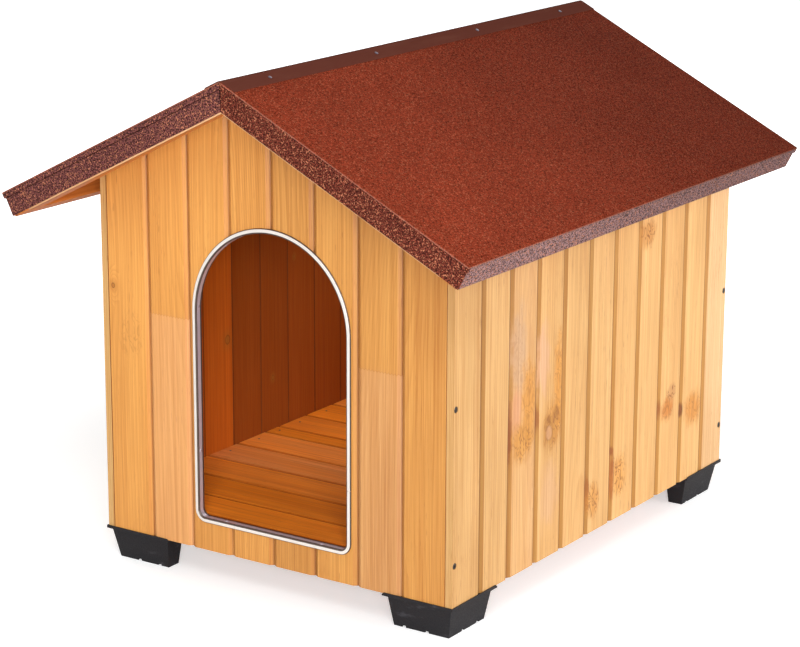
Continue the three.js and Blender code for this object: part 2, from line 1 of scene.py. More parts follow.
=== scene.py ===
"""Dresses a wooden dog house: oiled pine, mineral roofing felt, bright doorway edging, moulded feet.

Metres throughout, +Z up. The doorway faces -Y and +X is on the right of someone looking at it.
"""

from __future__ import annotations

import json
import logging
import math
from collections.abc import Callable
from dataclasses import dataclass
from enum import Enum

import bmesh
import bpy
from mathutils import Euler, Matrix, Quaternion, Vector

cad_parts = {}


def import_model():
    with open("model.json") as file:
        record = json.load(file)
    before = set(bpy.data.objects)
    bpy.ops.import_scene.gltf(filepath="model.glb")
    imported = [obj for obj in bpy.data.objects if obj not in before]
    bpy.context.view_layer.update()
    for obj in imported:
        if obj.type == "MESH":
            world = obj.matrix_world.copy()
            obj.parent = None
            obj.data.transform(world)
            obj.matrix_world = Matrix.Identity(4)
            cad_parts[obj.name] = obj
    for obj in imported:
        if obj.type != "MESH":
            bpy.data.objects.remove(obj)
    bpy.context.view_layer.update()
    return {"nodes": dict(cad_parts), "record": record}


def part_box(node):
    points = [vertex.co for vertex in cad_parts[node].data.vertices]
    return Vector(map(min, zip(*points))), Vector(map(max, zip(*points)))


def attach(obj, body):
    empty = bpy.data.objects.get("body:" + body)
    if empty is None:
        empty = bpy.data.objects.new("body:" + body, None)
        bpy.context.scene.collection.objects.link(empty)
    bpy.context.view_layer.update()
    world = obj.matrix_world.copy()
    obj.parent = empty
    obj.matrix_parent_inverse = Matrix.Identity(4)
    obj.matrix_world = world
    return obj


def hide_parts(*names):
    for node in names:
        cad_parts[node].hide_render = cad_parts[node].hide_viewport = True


log = logging.getLogger("dog_house")

MM = 0.001
Colour = tuple[float, float, float, float]
Triple = tuple[float, float, float]
Socket = bpy.types.NodeSocket

ROOF_SLOPE = math.radians(26.72)
ROOF_RISE = math.tan(ROOF_SLOPE)
RUN = math.cos(ROOF_SLOPE)  # level part of one metre down the slope
FALL = math.sin(ROOF_SLOPE)  # upright part of it
RIDGE_UNDERSIDE = 541.38 * MM  # lower line of the roof's edge, at the ridge
FELT_LIFT = 29.4 * MM  # felt's top over that line, square to the slope
FELT_RIDGE = RIDGE_UNDERSIDE + FELT_LIFT / RUN
HALF_ROOF = 361.0 * MM
WALL_SIDE = 229.0 * MM
FRONT_Y = -279.0 * MM
REAR_Y = 323.0 * MM
BOARD = 55.0 * MM  # face width of a wall board
SEED_STEP = (3.71, 5.13, 7.93)  # how far one step of a seed moves a pattern along the axes


# ---- colour and node helpers ---------------------------------------------------------


def tint(code: str) -> Colour:
    """Turns a screen colour into the linear colour that shaders take.

    Args:
        code: Six hexadecimal digits after a hash sign.

    Returns:
        Linear red, green, blue and a full alpha.
    """
    parts = [int(code[i : i + 2], 16) / 255 for i in (1, 3, 5)]
    # the usual curve of screen colours: straight near black, a power above it
    linear = [c / 12.92 if c <= 0.04045 else ((c + 0.055) / 1.055) ** 2.4 for c in parts]
    return (*linear, 1.0)


class Graph:
    """Draws the node tree of one material."""

    def __init__(self, name: str) -> None:
        """Starts an empty tree with a surface shader.

        Args:
            name: The material's name.
        """
        self.material = bpy.data.materials.new(name)
        self.material.use_nodes = True
        self.tree = self.material.node_tree
        self.tree.nodes.clear()
        self.shader = self.add("ShaderNodeBsdfPrincipled")
        output = self.add("ShaderNodeOutputMaterial")
        self.tree.links.new(self.shader.outputs[0], output.inputs[0])
        self.place = self.add("ShaderNodeTexCoord").outputs["Object"]

    def add(self, kind: str, **settings: object) -> bpy.types.Node:
        """Adds a node.

        Args:
            kind: The node's type name.
            settings: Properties to set on the node.

        Returns:
            The new node.
        """
        node = self.tree.nodes.new(kind)
        for key, value in settings.items():
            setattr(node, key, value)
        return node

    def feed(self, socket: Socket, value: object) -> None:
        """Links a socket, or sets its own value when given a plain one.

        Args:
            socket: The input.
            value: A link, a plain value, or nothing to leave it as it is.
        """
        if isinstance(value, Socket):
            self.tree.links.new(value, socket)
        elif value is not None:
            socket.default_value = value

    def maths(self, operation: str, *values: object) -> Socket:
        """Does arithmetic on up to three values.

        Args:
            operation: The Math node's operation.
            values: Links or plain numbers.

        Returns:
            The result.
        """
        node = self.add("ShaderNodeMath", operation=operation)
        for socket, value in zip(node.inputs, values):
            self.feed(socket, value)
        return node.outputs[0]

    def scaled(self, vector: Socket, by: Triple, seed: float = 0.0) -> Socket:
        """Stretches a place along its axes and moves it by a seed.

        Args:
            vector: The place.
            by: Factors along the three axes.
            seed: How far the pattern is moved, so that two pieces differ.

        Returns:
            The new place.
        """
        node = self.add("ShaderNodeVectorMath", operation="MULTIPLY_ADD")
        self.feed(node.inputs[0], vector)
        node.inputs[1].default_value = by
        node.inputs[2].default_value = tuple(seed * step for step in SEED_STEP)
        return node.outputs[0]

    def distance(self, a: object, b: object, weight: float = 1.0) -> Socket:
        """Works out a length from its two parts.

        Args:
            a: First part.
            b: Second part.
            weight: What the second part's square counts for.

        Returns:
            The length.
        """
        first, second = self.maths("MULTIPLY", a, a), self.maths("MULTIPLY", b, b)
        if weight != 1.0:
            second = self.maths("MULTIPLY", second, weight)
        return self.maths("SQRT", self.maths("ADD", first, second))

    def noise(
        self, vector: Socket, scale: float = 1.0, detail: float = 2.0, distortion: float = 0.0
    ) -> Socket:
        """Draws soft noise.

        Args:
            vector: The place.
            scale: Cycles per metre.
            detail: How many finer octaves are added.
            distortion: How far the pattern is twisted.

        Returns:
            A value between 0 and 1.
        """
        node = self.add("ShaderNodeTexNoise")
        self.feed(node.inputs["Vector"], vector)
        node.inputs["Scale"].default_value = scale
        node.inputs["Detail"].default_value = detail
        node.inputs["Distortion"].default_value = distortion
        return node.outputs["Fac"]

    def cells(self, vector: Socket, scale: float) -> bpy.types.Node:
        """Draws a pattern of cells whose Color differs from cell to cell.

        Args:
            vector: The place.
            scale: Cells per metre.

        Returns:
            The pattern's node.
        """
        node = self.add("ShaderNodeTexVoronoi")
        self.feed(node.inputs["Vector"], vector)
        node.inputs["Scale"].default_value = scale
        return node

    def remap(
        self, value: object, low: float, high: float, to_low: float = 0.0, to_high: float = 1.0
    ) -> Socket:
        """Eases a value from one range into another and holds it there.

        Args:
            value: The value.
            low: Start of its range.
            high: End of its range.
            to_low: What the start becomes.
            to_high: What the end becomes.

        Returns:
            The new value.
        """
        node = self.add("ShaderNodeMapRange", interpolation_type="SMOOTHSTEP")
        for socket, number in zip(node.inputs, (value, low, high, to_low, to_high)):
            self.feed(socket, number)
        return node.outputs[0]

    def blend(self, factor: object, a: object, b: object, kind: str = "MIX") -> Socket:
        """Blends two colours.

        Args:
            factor: Share of the second colour.
            a: First colour.
            b: Second colour.
            kind: How they combine.

        Returns:
            The blended colour.
        """
        node = self.add("ShaderNodeMix", data_type="RGBA", blend_type=kind, clamp_factor=True)
        self.feed(node.inputs[0], factor)
        self.feed(node.inputs[6], a)
        self.feed(node.inputs[7], b)
        return node.outputs[2]

    def window(self, value: object, low: float, high: float, soft: float) -> Socket:
        """Marks the values between two limits.

        Args:
            value: The value.
            low: Lower limit.
            high: Upper limit.
            soft: Half of the width over which each edge fades.

        Returns:
            1 between the limits and 0 beyond them.
        """
        rise = self.remap(value, low - soft, low + soft)
        return self.maths("MULTIPLY", rise, self.remap(value, high - soft, high + soft, 1.0, 0.0))

    def stepped(
        self, value: Socket, edges: tuple[float, ...], levels: tuple[float, ...]
    ) -> Socket:
        """Jumps from one level to the next wherever a value passes an edge.

        Args:
            value: The value.
            edges: Where the jumps are, in rising order.
            levels: The level before the first edge, and after each edge.

        Returns:
            The level.
        """
        total: object = levels[0]
        for edge, before, after in zip(edges, levels, levels[1:]):
            passed = self.maths("GREATER_THAN", value, edge)
            total = self.maths("MULTIPLY_ADD", passed, after - before, total)
        return total

    def grey(self, value: object) -> Socket:
        """Makes a grey colour.

        Args:
            value: How bright it is.

        Returns:
            The colour.
        """
        node = self.add("ShaderNodeCombineColor")
        for socket in node.inputs:
            self.feed(socket, value)
        return node.outputs[0]

    def split(self, vector: Socket) -> tuple[Socket, ...]:
        """Takes a place apart.

        Args:
            vector: The place.

        Returns:
            Its three numbers.
        """
        node = self.add("ShaderNodeSeparateXYZ")
        self.feed(node.inputs[0], vector)
        return tuple(node.outputs)

    def relief(
        self, height: Socket, depth: float, strength: float = 1.0
    ) -> Socket:
        """Makes a bumped normal out of a height between 0 and 1.

        Args:
            height: The height.
            depth: Real depth of a height of 1, in metres.
            strength: How much of it shows.

        Returns:
            The normal.
        """
        node = self.add("ShaderNodeBump")
        node.inputs["Strength"].default_value = strength
        node.inputs["Distance"].default_value = depth
        self.feed(node.inputs["Height"], height)
        return node.outputs[0]

    def surface(self, **values: object) -> bpy.types.Material:
        """Feeds the shader's sockets by name, with underscores for spaces.

        Args:
            values: A socket's name and the value or link that it gets.

        Returns:
            The finished material.
        """
        for key, value in values.items():
            self.feed(self.shader.inputs[key.replace("_", " ")], value)
        return self.material


@dataclass(frozen=True)
class Layer:
    """One layer of noise in a material.

    Attributes:
        stretch: Cycles per metre along the three axes.
        detail: How many finer octaves are added.
        shift: Steps of the seed that set this layer apart from the others.
        twist: How far the pattern is twisted.
    """

    stretch: Triple
    detail: float = 2.0
    shift: float = 0.0
    twist: float = 0.0

    def draw(self, g: Graph, place: Socket, seed: float = 0.0) -> Socket:
        """Draws the layer.

        Args:
            g: The tree.
            place: The place.
            seed: Number that sets this piece apart from the others.

        Returns:
            A value between 0 and 1.
        """
        moved = g.scaled(place, self.stretch, seed + self.shift)
        return g.noise(moved, detail=self.detail, distortion=self.twist)


# ---- finishes ------------------------------------------------------------------------


class Lay(Enum):
    """How a piece of timber lies: the way across its face, and the way into the wood."""

    FRONT_WALL = ((1, 0, 0), (0, 1, 0))
    REAR_WALL = ((-1, 0, 0), (0, -1, 0))
    RIGHT_WALL = ((0, 1, 0), (-1, 0, 0))
    LEFT_WALL = ((0, -1, 0), (1, 0, 0))
    FLOOR = ((0, 1, 0), (0, 0, -1))
    EAVE_RIGHT = ((FALL, 0, RUN), (-RUN, 0, FALL))
    EAVE_LEFT = ((-FALL, 0, RUN), (RUN, 0, FALL))
    SLOPE_RIGHT = ((FALL, 0, RUN), (0, 1, 0))
    SLOPE_LEFT = ((-FALL, 0, RUN), (0, 1, 0))
    SLOPE_RIGHT_REAR = ((FALL, 0, RUN), (0, -1, 0))
    SLOPE_LEFT_REAR = ((-FALL, 0, RUN), (0, -1, 0))
    DECK_RIGHT = ((RUN, 0, -FALL), (-FALL, 0, -RUN))
    DECK_LEFT = ((-RUN, 0, -FALL), (FALL, 0, -RUN))

    def turn(self) -> Euler:
        """The turn that takes X across the face, Y into the wood and Z along the grain."""
        across, into = (Vector(v) for v in self.value)
        return Matrix((across, into, across.cross(into))).transposed().to_euler()


@dataclass(frozen=True)
class Knot:
    """A knot in a board, with its place and size in millimetres.

    Attributes:
        across: Distance from the board's middle line.
        along: Height, or place along the board.
        radius: Radius of the hard core.
        sway: How strongly the grain curls round it.
        pale: How pale the core is.
        strength: How strongly it shows.
    """

    across: float
    along: float
    radius: float
    sway: float = 1.0
    pale: float = 0.0
    strength: float = 1.0


@dataclass(frozen=True)
class Figure:
    """A stained or curly patch of grain near a knot, with its place and size in millimetres.

    Attributes:
        across: Distance from the board's middle line.
        along: Height, or place along the board.
        half_width: Half of its width.
        half_height: Half of its height.
        colour: Screen colour that it leans to.
        share: How far it leans.
        curl: How strongly its curly lines show.
    """

    across: float
    along: float
    half_width: float
    half_height: float
    colour: str = "#D08A42"
    share: float = 0.5
    curl: float = 0.5


@dataclass(frozen=True)
class Pine:
    """Oiled pine with growth rings, fibres, pores and knots.

    Attributes:
        name: The material's name.
        origin: A point on the middle line of the board's face.
        lay: How the board lies.
        seed: Number that sets this board's grain apart.
        early: Screen colour of the early wood.
        late: Screen colour of the late wood.
        deep: Screen colour of the deeper stained places.
        tone: Brightness of the board against the others.
        rosy: How far the board leans to pink.
        ring: Width of a growth ring.
        contrast: How dark the late wood is.
        pith: Where the tree's middle lies, across and behind the face.
        knots: The board's knots.
        figures: The board's stained and curly patches.
        finger_joint: Place along the board where another length is joined on.
        seams: Places across the face where one board ends and the next begins.
        tones: Brightness of each board between the seams.
        blush: How far each board between the seams leans to pink.
        groove: How far the chamfers of the grooves lean to the deep colour.
        groove_floor: Depth of the dark line in the groove.
        edge: Distance from the middle line beyond which the board's own edge lies, which the grooves'
            darkening leaves out.
        stain: How much deeper the whole board is stained.
        painted_shade: How far the wood beyond the depth of shade_from leans to painted shade, as on the
            walls' inner faces and the battens' faces behind their outer one.
        shade_from: Depth at which that begins.
        shade_colour: Screen colour of that painted shade.
        grit: How strongly the fine streaks show.
        seam_line: How dark the line at the groove's floor is.
        shine: Strength of the oil's gloss.
    """

    name: str
    origin: Triple
    lay: Lay
    seed: float
    early: str = "#F2B873"
    late: str = "#D28E4A"
    deep: str = "#B8631F"
    tone: float = 1.0
    rosy: float = 0.0
    ring: float = 2.4 * MM
    contrast: float = 0.38
    pith: tuple[float, float] = (0.030, 0.045)
    knots: tuple[Knot, ...] = ()
    figures: tuple[Figure, ...] = ()
    finger_joint: float | None = None
    seams: tuple[float, ...] = ()
    tones: tuple[float, ...] = ()
    blush: tuple[float, ...] = ()
    groove: float = 0.3
    groove_floor: float = 2.6 * MM
    edge: float | None = None
    stain: float = 0.0
    painted_shade: float = 0.0
    shade_from: float = 8.3 * MM
    shade_colour: str = "#D46A1C"
    grit: float = 1.0
    seam_line: float = 0.5
    shine: float = 1.0

    ROSY = tint("#E3AC7F")
    CORE = tint("#8A4A22")
    BARK = tint("#5A2A12")
    PORE = tint("#9E5A24")
    ARC = tint("#9C5C22")

    # layers of noise, stretched along the grain
    FIBRE = Layer((1900, 1900, 22), 1.5, 1)
    STREAK = Layer((330, 330, 2.6), 3.0, 2)
    CLOUD = Layer((11, 11, 3.6), 2.0, 3)
    DASH = Layer((1250, 1250, 62), 1.0, 4)
    PATCH = Layer((60, 60, 7), 1.0, 5)
    THREAD = Layer((850, 850, 6), 2.0, 6)
    LEAN = Layer((0.0, 0.0, 1.9), 1.0, 11)
    SWAY = Layer((0.0, 0.0, 1.3), 1.0, 12)
    RIPPLE = Layer((26, 26, 5), 2.0, 13)
    CURL = Layer((95, 95, 60), 2.0, 20)
    RAGGED = Layer((170, 170, 60), 3.0, 30)
    WAVE = Layer((85, 85, 40), 1.0, 40, 1.6)

    GROOVE_FROM = 0.12 * MM  # depths between which the grooves' chamfers lie
    GROOVE_TO = 4.4 * MM
    JOINT_FROM = 1.3 * MM  # distances from a board's edge between which its seam darkens inside
    JOINT_TO = 0.5 * MM
    LEAN_REACH = 0.034  # how far the tree's middle wanders across the board
    SWAY_REACH = 0.05  # how far it wanders behind the face
    RIPPLE_REACH = 4.5 * MM
    KNOT_LENGTH = 0.2  # what the way along the grain counts for in the curl round a knot
    EYE_LENGTH = 0.62  # and in the knot itself
    KNOT_RING = 0.9 * MM
    RELIEF = 0.12 * MM
    WARMTH = (("Red", 0.6), ("Green", 1.0), ("Blue", 1.5))  # how strongly streaks change each colour

    def build(self) -> bpy.types.Material:
        """Draws the material.

        Returns:
            The material.
        """
        g = Graph(self.name)
        mapping = g.add("ShaderNodeMapping", vector_type="TEXTURE")
        g.feed(mapping.inputs["Vector"], g.place)
        mapping.inputs["Location"].default_value = self.origin
        mapping.inputs["Rotation"].default_value = self.lay.turn()
        local = mapping.outputs[0]
        base_shade: object = self.tone
        pink: object = self.rosy
        if self.seams:
            face = g.split(local)[0]
            local = self._boards(g, local, face)
            base_shade = g.maths("MULTIPLY", g.stepped(face, self.seams, self.tones), self.tone)
            if self.blush:
                pink = g.stepped(face, self.seams, self.blush)
        across, depth, along = g.split(local)
        deep = tint(self.deep)

        rings, eyes = self._rings(g, local, across, depth, along)
        fibre, streak, thread, cloud, dash, patch = (
            layer.draw(g, local, self.seed)
            for layer in (self.FIBRE, self.STREAK, self.THREAD, self.CLOUD, self.DASH, self.PATCH)
        )

        colour = g.blend(g.maths("MULTIPLY", rings, self.contrast), tint(self.early), tint(self.late))
        colour = g.blend(g.remap(cloud, 0.38, 0.72, 0.0, 0.3), colour, deep)
        if self.rosy > 0 or self.blush:
            share = g.maths("MULTIPLY", g.remap(patch, 0.2, 0.8, 0.5, 1.0), pink)
            colour = g.blend(share, colour, self.ROSY)
        pores = g.maths("MULTIPLY", g.remap(dash, 0.64, 0.74), g.remap(patch, 0.42, 0.7, 0.08, 0.6))
        colour = g.blend(pores, colour, self.PORE)
        grit = self.grit
        shade = g.maths(
            "ADD",
            g.remap(streak, 0.25, 0.75, -0.12 * grit, 0.1 * grit),
            g.remap(fibre, 0.2, 0.8, -0.1 * grit, 0.08 * grit),
        )
        shade = g.maths("ADD", shade, g.remap(thread, 0.3, 0.7, -0.12 * grit, 0.08 * grit))
        in_groove = g.window(depth, self.GROOVE_FROM, self.GROOVE_TO, 0.1 * MM)
        if self.edge is not None:
            # the board's own sawn edge, which is only seen at a corner, is left as pale as its face
            from_middle = g.maths("ABSOLUTE", across)
            face_only = g.remap(from_middle, self.edge - 0.06 * MM, self.edge - 0.01 * MM, 1.0, 0.0)
            in_groove = g.maths("MULTIPLY", in_groove, face_only)
        colour = g.blend(g.maths("MULTIPLY", in_groove, self.groove), colour, deep)
        for index, figure in enumerate(self.figures):
            colour = self._figure(g, colour, local, across, along, figure, index)
        seam = g.remap(depth, self.groove_floor - 0.5 * MM, self.groove_floor, 0.0, self.seam_line)
        seam = g.maths("MULTIPLY", seam, in_groove)
        # painted shade on the faces beyond the start depth, such as the walls' inner faces
        if self.painted_shade > 0:
            behind = g.remap(depth, self.shade_from, self.shade_from + 0.5 * MM)
            colour = g.blend(g.maths("MULTIPLY", behind, self.painted_shade), colour, tint(self.shade_colour))
            if self.edge is not None:
                joint_from, joint_to = self.edge - self.JOINT_FROM, self.edge - self.JOINT_TO
                joint = g.remap(from_middle, joint_from, joint_to, 0.0, 0.8)
                colour = g.blend(g.maths("MULTIPLY", joint, behind), colour, self.BARK)
        colour = g.blend(seam, colour, self.BARK)
        if self.stain > 0:
            colour = g.blend(self.stain, colour, deep)
        for knot, eye in zip(self.knots, eyes):
            colour = self._knot_colour(g, colour, knot, eye)
        if self.finger_joint is not None:
            colour, shade = self._joint(g, colour, shade, across, along)
        warm = g.add("ShaderNodeCombineColor")
        for channel, share in self.WARMTH:
            g.feed(warm.inputs[channel], g.maths("MULTIPLY_ADD", shade, share, base_shade))
        colour = g.blend(1.0, colour, warm.outputs[0], "MULTIPLY")

        height = g.maths("MULTIPLY_ADD", rings, -0.35, g.maths("MULTIPLY", fibre, 0.45))
        height = g.maths("MULTIPLY_ADD", pores, -0.6, height)
        return g.surface(
            Base_Color=colour,
            Roughness=g.remap(streak, 0.2, 0.8, 0.42, 0.58),
            Normal=g.relief(height, self.RELIEF, 0.8),
            Specular_IOR_Level=0.4 * self.shine,
            Coat_Weight=0.1 * self.shine,
            Coat_Roughness=0.38,
        )

    def _boards(
        self, g: Graph, local: Socket, face: Socket
    ) -> Socket:
        """Gives every board of a panel its own stretch of grain.

        Args:
            g: The tree.
            local: Place in the panel's own axes.
            face: Its part across the boards.

        Returns:
            The moved place.
        """
        count = g.stepped(face, self.seams, tuple(float(i) for i in range(len(self.seams) + 1)))
        dice = g.add("ShaderNodeTexWhiteNoise", noise_dimensions="1D")
        g.feed(dice.inputs["W"], g.maths("ADD", count, self.seed))
        jump = g.add("ShaderNodeVectorMath", operation="MULTIPLY_ADD")
        g.feed(jump.inputs[0], dice.outputs["Color"])
        jump.inputs[1].default_value = (0.03, 0.0, 3.0)
        g.feed(jump.inputs[2], local)
        return jump.outputs[0]

    def _rings(
        self,
        g: Graph,
        local: Socket,
        across: Socket,
        depth: Socket,
        along: Socket,
    ) -> tuple[Socket, list[Socket]]:
        """Cuts the board out of a tree that grew a little crooked.

        Args:
            g: The tree.
            local: Place in the board's axes.
            across: Its part across the face.
            depth: Its part into the wood.
            along: Its part along the grain.

        Returns:
            How much late wood shows, and the distance to each knot's middle.
        """
        layers = (self.LEAN, self.SWAY, self.RIPPLE)
        lean, sway, ripple = (layer.draw(g, local, self.seed) for layer in layers)
        lean_from = self.pith[0] - self.LEAN_REACH / 2
        sway_from = self.pith[1] - self.SWAY_REACH / 2
        side = g.maths("ADD", across, g.maths("MULTIPLY_ADD", lean, self.LEAN_REACH, lean_from))
        back = g.maths("ADD", depth, g.maths("MULTIPLY_ADD", sway, self.SWAY_REACH, sway_from))
        reach = g.maths("MULTIPLY_ADD", ripple, self.RIPPLE_REACH, g.distance(side, back))
        eyes = []
        for index, knot in enumerate(self.knots):
            radius = knot.radius * MM
            x = g.maths("SUBTRACT", across, knot.across * MM)
            z = g.maths("SUBTRACT", along, knot.along * MM)
            curl = self.CURL.draw(g, local, self.seed + index)
            pull = g.remap(g.distance(x, z, self.KNOT_LENGTH), radius * 0.6, radius * 4.2, 1.0, 0.0)
            swell = g.maths("MULTIPLY_ADD", curl, 0.9 * knot.sway, 1.2)
            push = g.maths("MULTIPLY", pull, swell)
            reach = g.maths("MULTIPLY_ADD", push, radius * 1.9 * knot.sway, reach)
            eyes.append(g.maths("MULTIPLY_ADD", curl, radius * 0.4, g.distance(x, z, self.EYE_LENGTH)))
        # each ring darkens slowly towards its late wood, and then ends at once
        turn = g.maths("FRACT", g.maths("DIVIDE", reach, self.ring))
        darkening = g.maths("POWER", turn, 1.8)
        return g.maths("MULTIPLY", darkening, g.remap(turn, 0.9, 1.0, 1.0, 0.0)), eyes

    def _figure(
        self,
        g: Graph,
        colour: Socket,
        local: Socket,
        across: Socket,
        along: Socket,
        figure: Figure,
        index: int,
    ) -> Socket:
        """Paints one stained or curly patch with a ragged outline.

        Args:
            g: The tree.
            colour: The wood's colour so far.
            local: Place in the board's axes.
            across: Its part across the face.
            along: Its part along the grain.
            figure: The patch.
            index: Its number on this board.

        Returns:
            The wood's colour with the patch.
        """
        x = g.maths("DIVIDE", g.maths("SUBTRACT", across, figure.across * MM), figure.half_width * MM)
        z = g.maths("DIVIDE", g.maths("SUBTRACT", along, figure.along * MM), figure.half_height * MM)
        ragged = g.maths("SUBTRACT", self.RAGGED.draw(g, local, self.seed + index), 0.5)
        far = g.maths("MULTIPLY_ADD", ragged, 1.2, g.distance(x, z))
        inside = g.remap(far, 0.45, 1.25, 1.0, 0.0)
        colour = g.blend(g.maths("MULTIPLY", inside, figure.share), colour, tint(figure.colour))
        wave = self.WAVE.draw(g, local, self.seed + index)
        lines = g.window(g.maths("FRACT", g.maths("MULTIPLY", wave, 5.0)), 0.3, 0.55, 0.12)
        lines = g.maths("MULTIPLY", lines, g.maths("MULTIPLY", inside, figure.curl))
        return g.blend(lines, colour, self.ARC)

    def _knot_colour(
        self, g: Graph, colour: Socket, knot: Knot, eye: Socket
    ) -> Socket:
        """Paints one knot: a core with fine rings, a dark rim and a stained halo.

        Args:
            g: The tree.
            colour: The wood's colour so far.
            knot: The knot.
            eye: Distance to the knot's middle.

        Returns:
            The wood's colour with the knot.
        """
        radius = knot.radius * MM
        halo = g.remap(eye, radius * 1.1, radius * 3.2, 0.4 * knot.strength, 0.0)
        colour = g.blend(halo, colour, tint(self.deep))
        core = g.remap(eye, radius * 0.95, radius * 1.12, 1.0, 0.0)
        fine = g.maths("FRACT", g.maths("DIVIDE", eye, self.KNOT_RING))
        heart = g.blend(g.maths("MULTIPLY", fine, 0.45), tint(self.deep), self.CORE)
        heart = g.blend(knot.pale, heart, self.ROSY)
        colour = g.blend(g.maths("MULTIPLY", core, 0.75 * knot.strength), colour, heart)
        rim = g.maths(
            "MULTIPLY",
            g.remap(eye, radius * 0.8, radius, 0.0, 1.0),
            g.remap(eye, radius * 1.02, radius * 1.25, (0.6 - 0.45 * knot.pale) * knot.strength, 0.0),
        )
        return g.blend(rim, colour, self.BARK)

    def _joint(
        self,
        g: Graph,
        colour: Socket,
        shade: Socket,
        across: Socket,
        along: Socket,
    ) -> tuple[Socket, Socket]:
        """Joins a paler length on below the finger joint, with its thin zigzag line.

        Args:
            g: The tree.
            colour: The wood's colour so far.
            shade: Its brightness so far.
            across: Place across the face.
            along: Place along the grain.

        Returns:
            The colour and the brightness with the joint.
        """
        wave = g.maths("PINGPONG", across, 2.0 * MM)
        height = g.maths("SUBTRACT", g.maths("MULTIPLY_ADD", wave, 0.9, along), self.finger_joint)
        below = g.remap(height, -0.2 * MM, 0.2 * MM, 1.0, 0.0)
        colour = g.blend(g.maths("MULTIPLY", below, 0.32), colour, self.ROSY)
        line = g.remap(g.maths("ABSOLUTE", height), 0.15 * MM, 0.7 * MM, 0.16, 0.0)
        return colour, g.maths("SUBTRACT", shade, line)


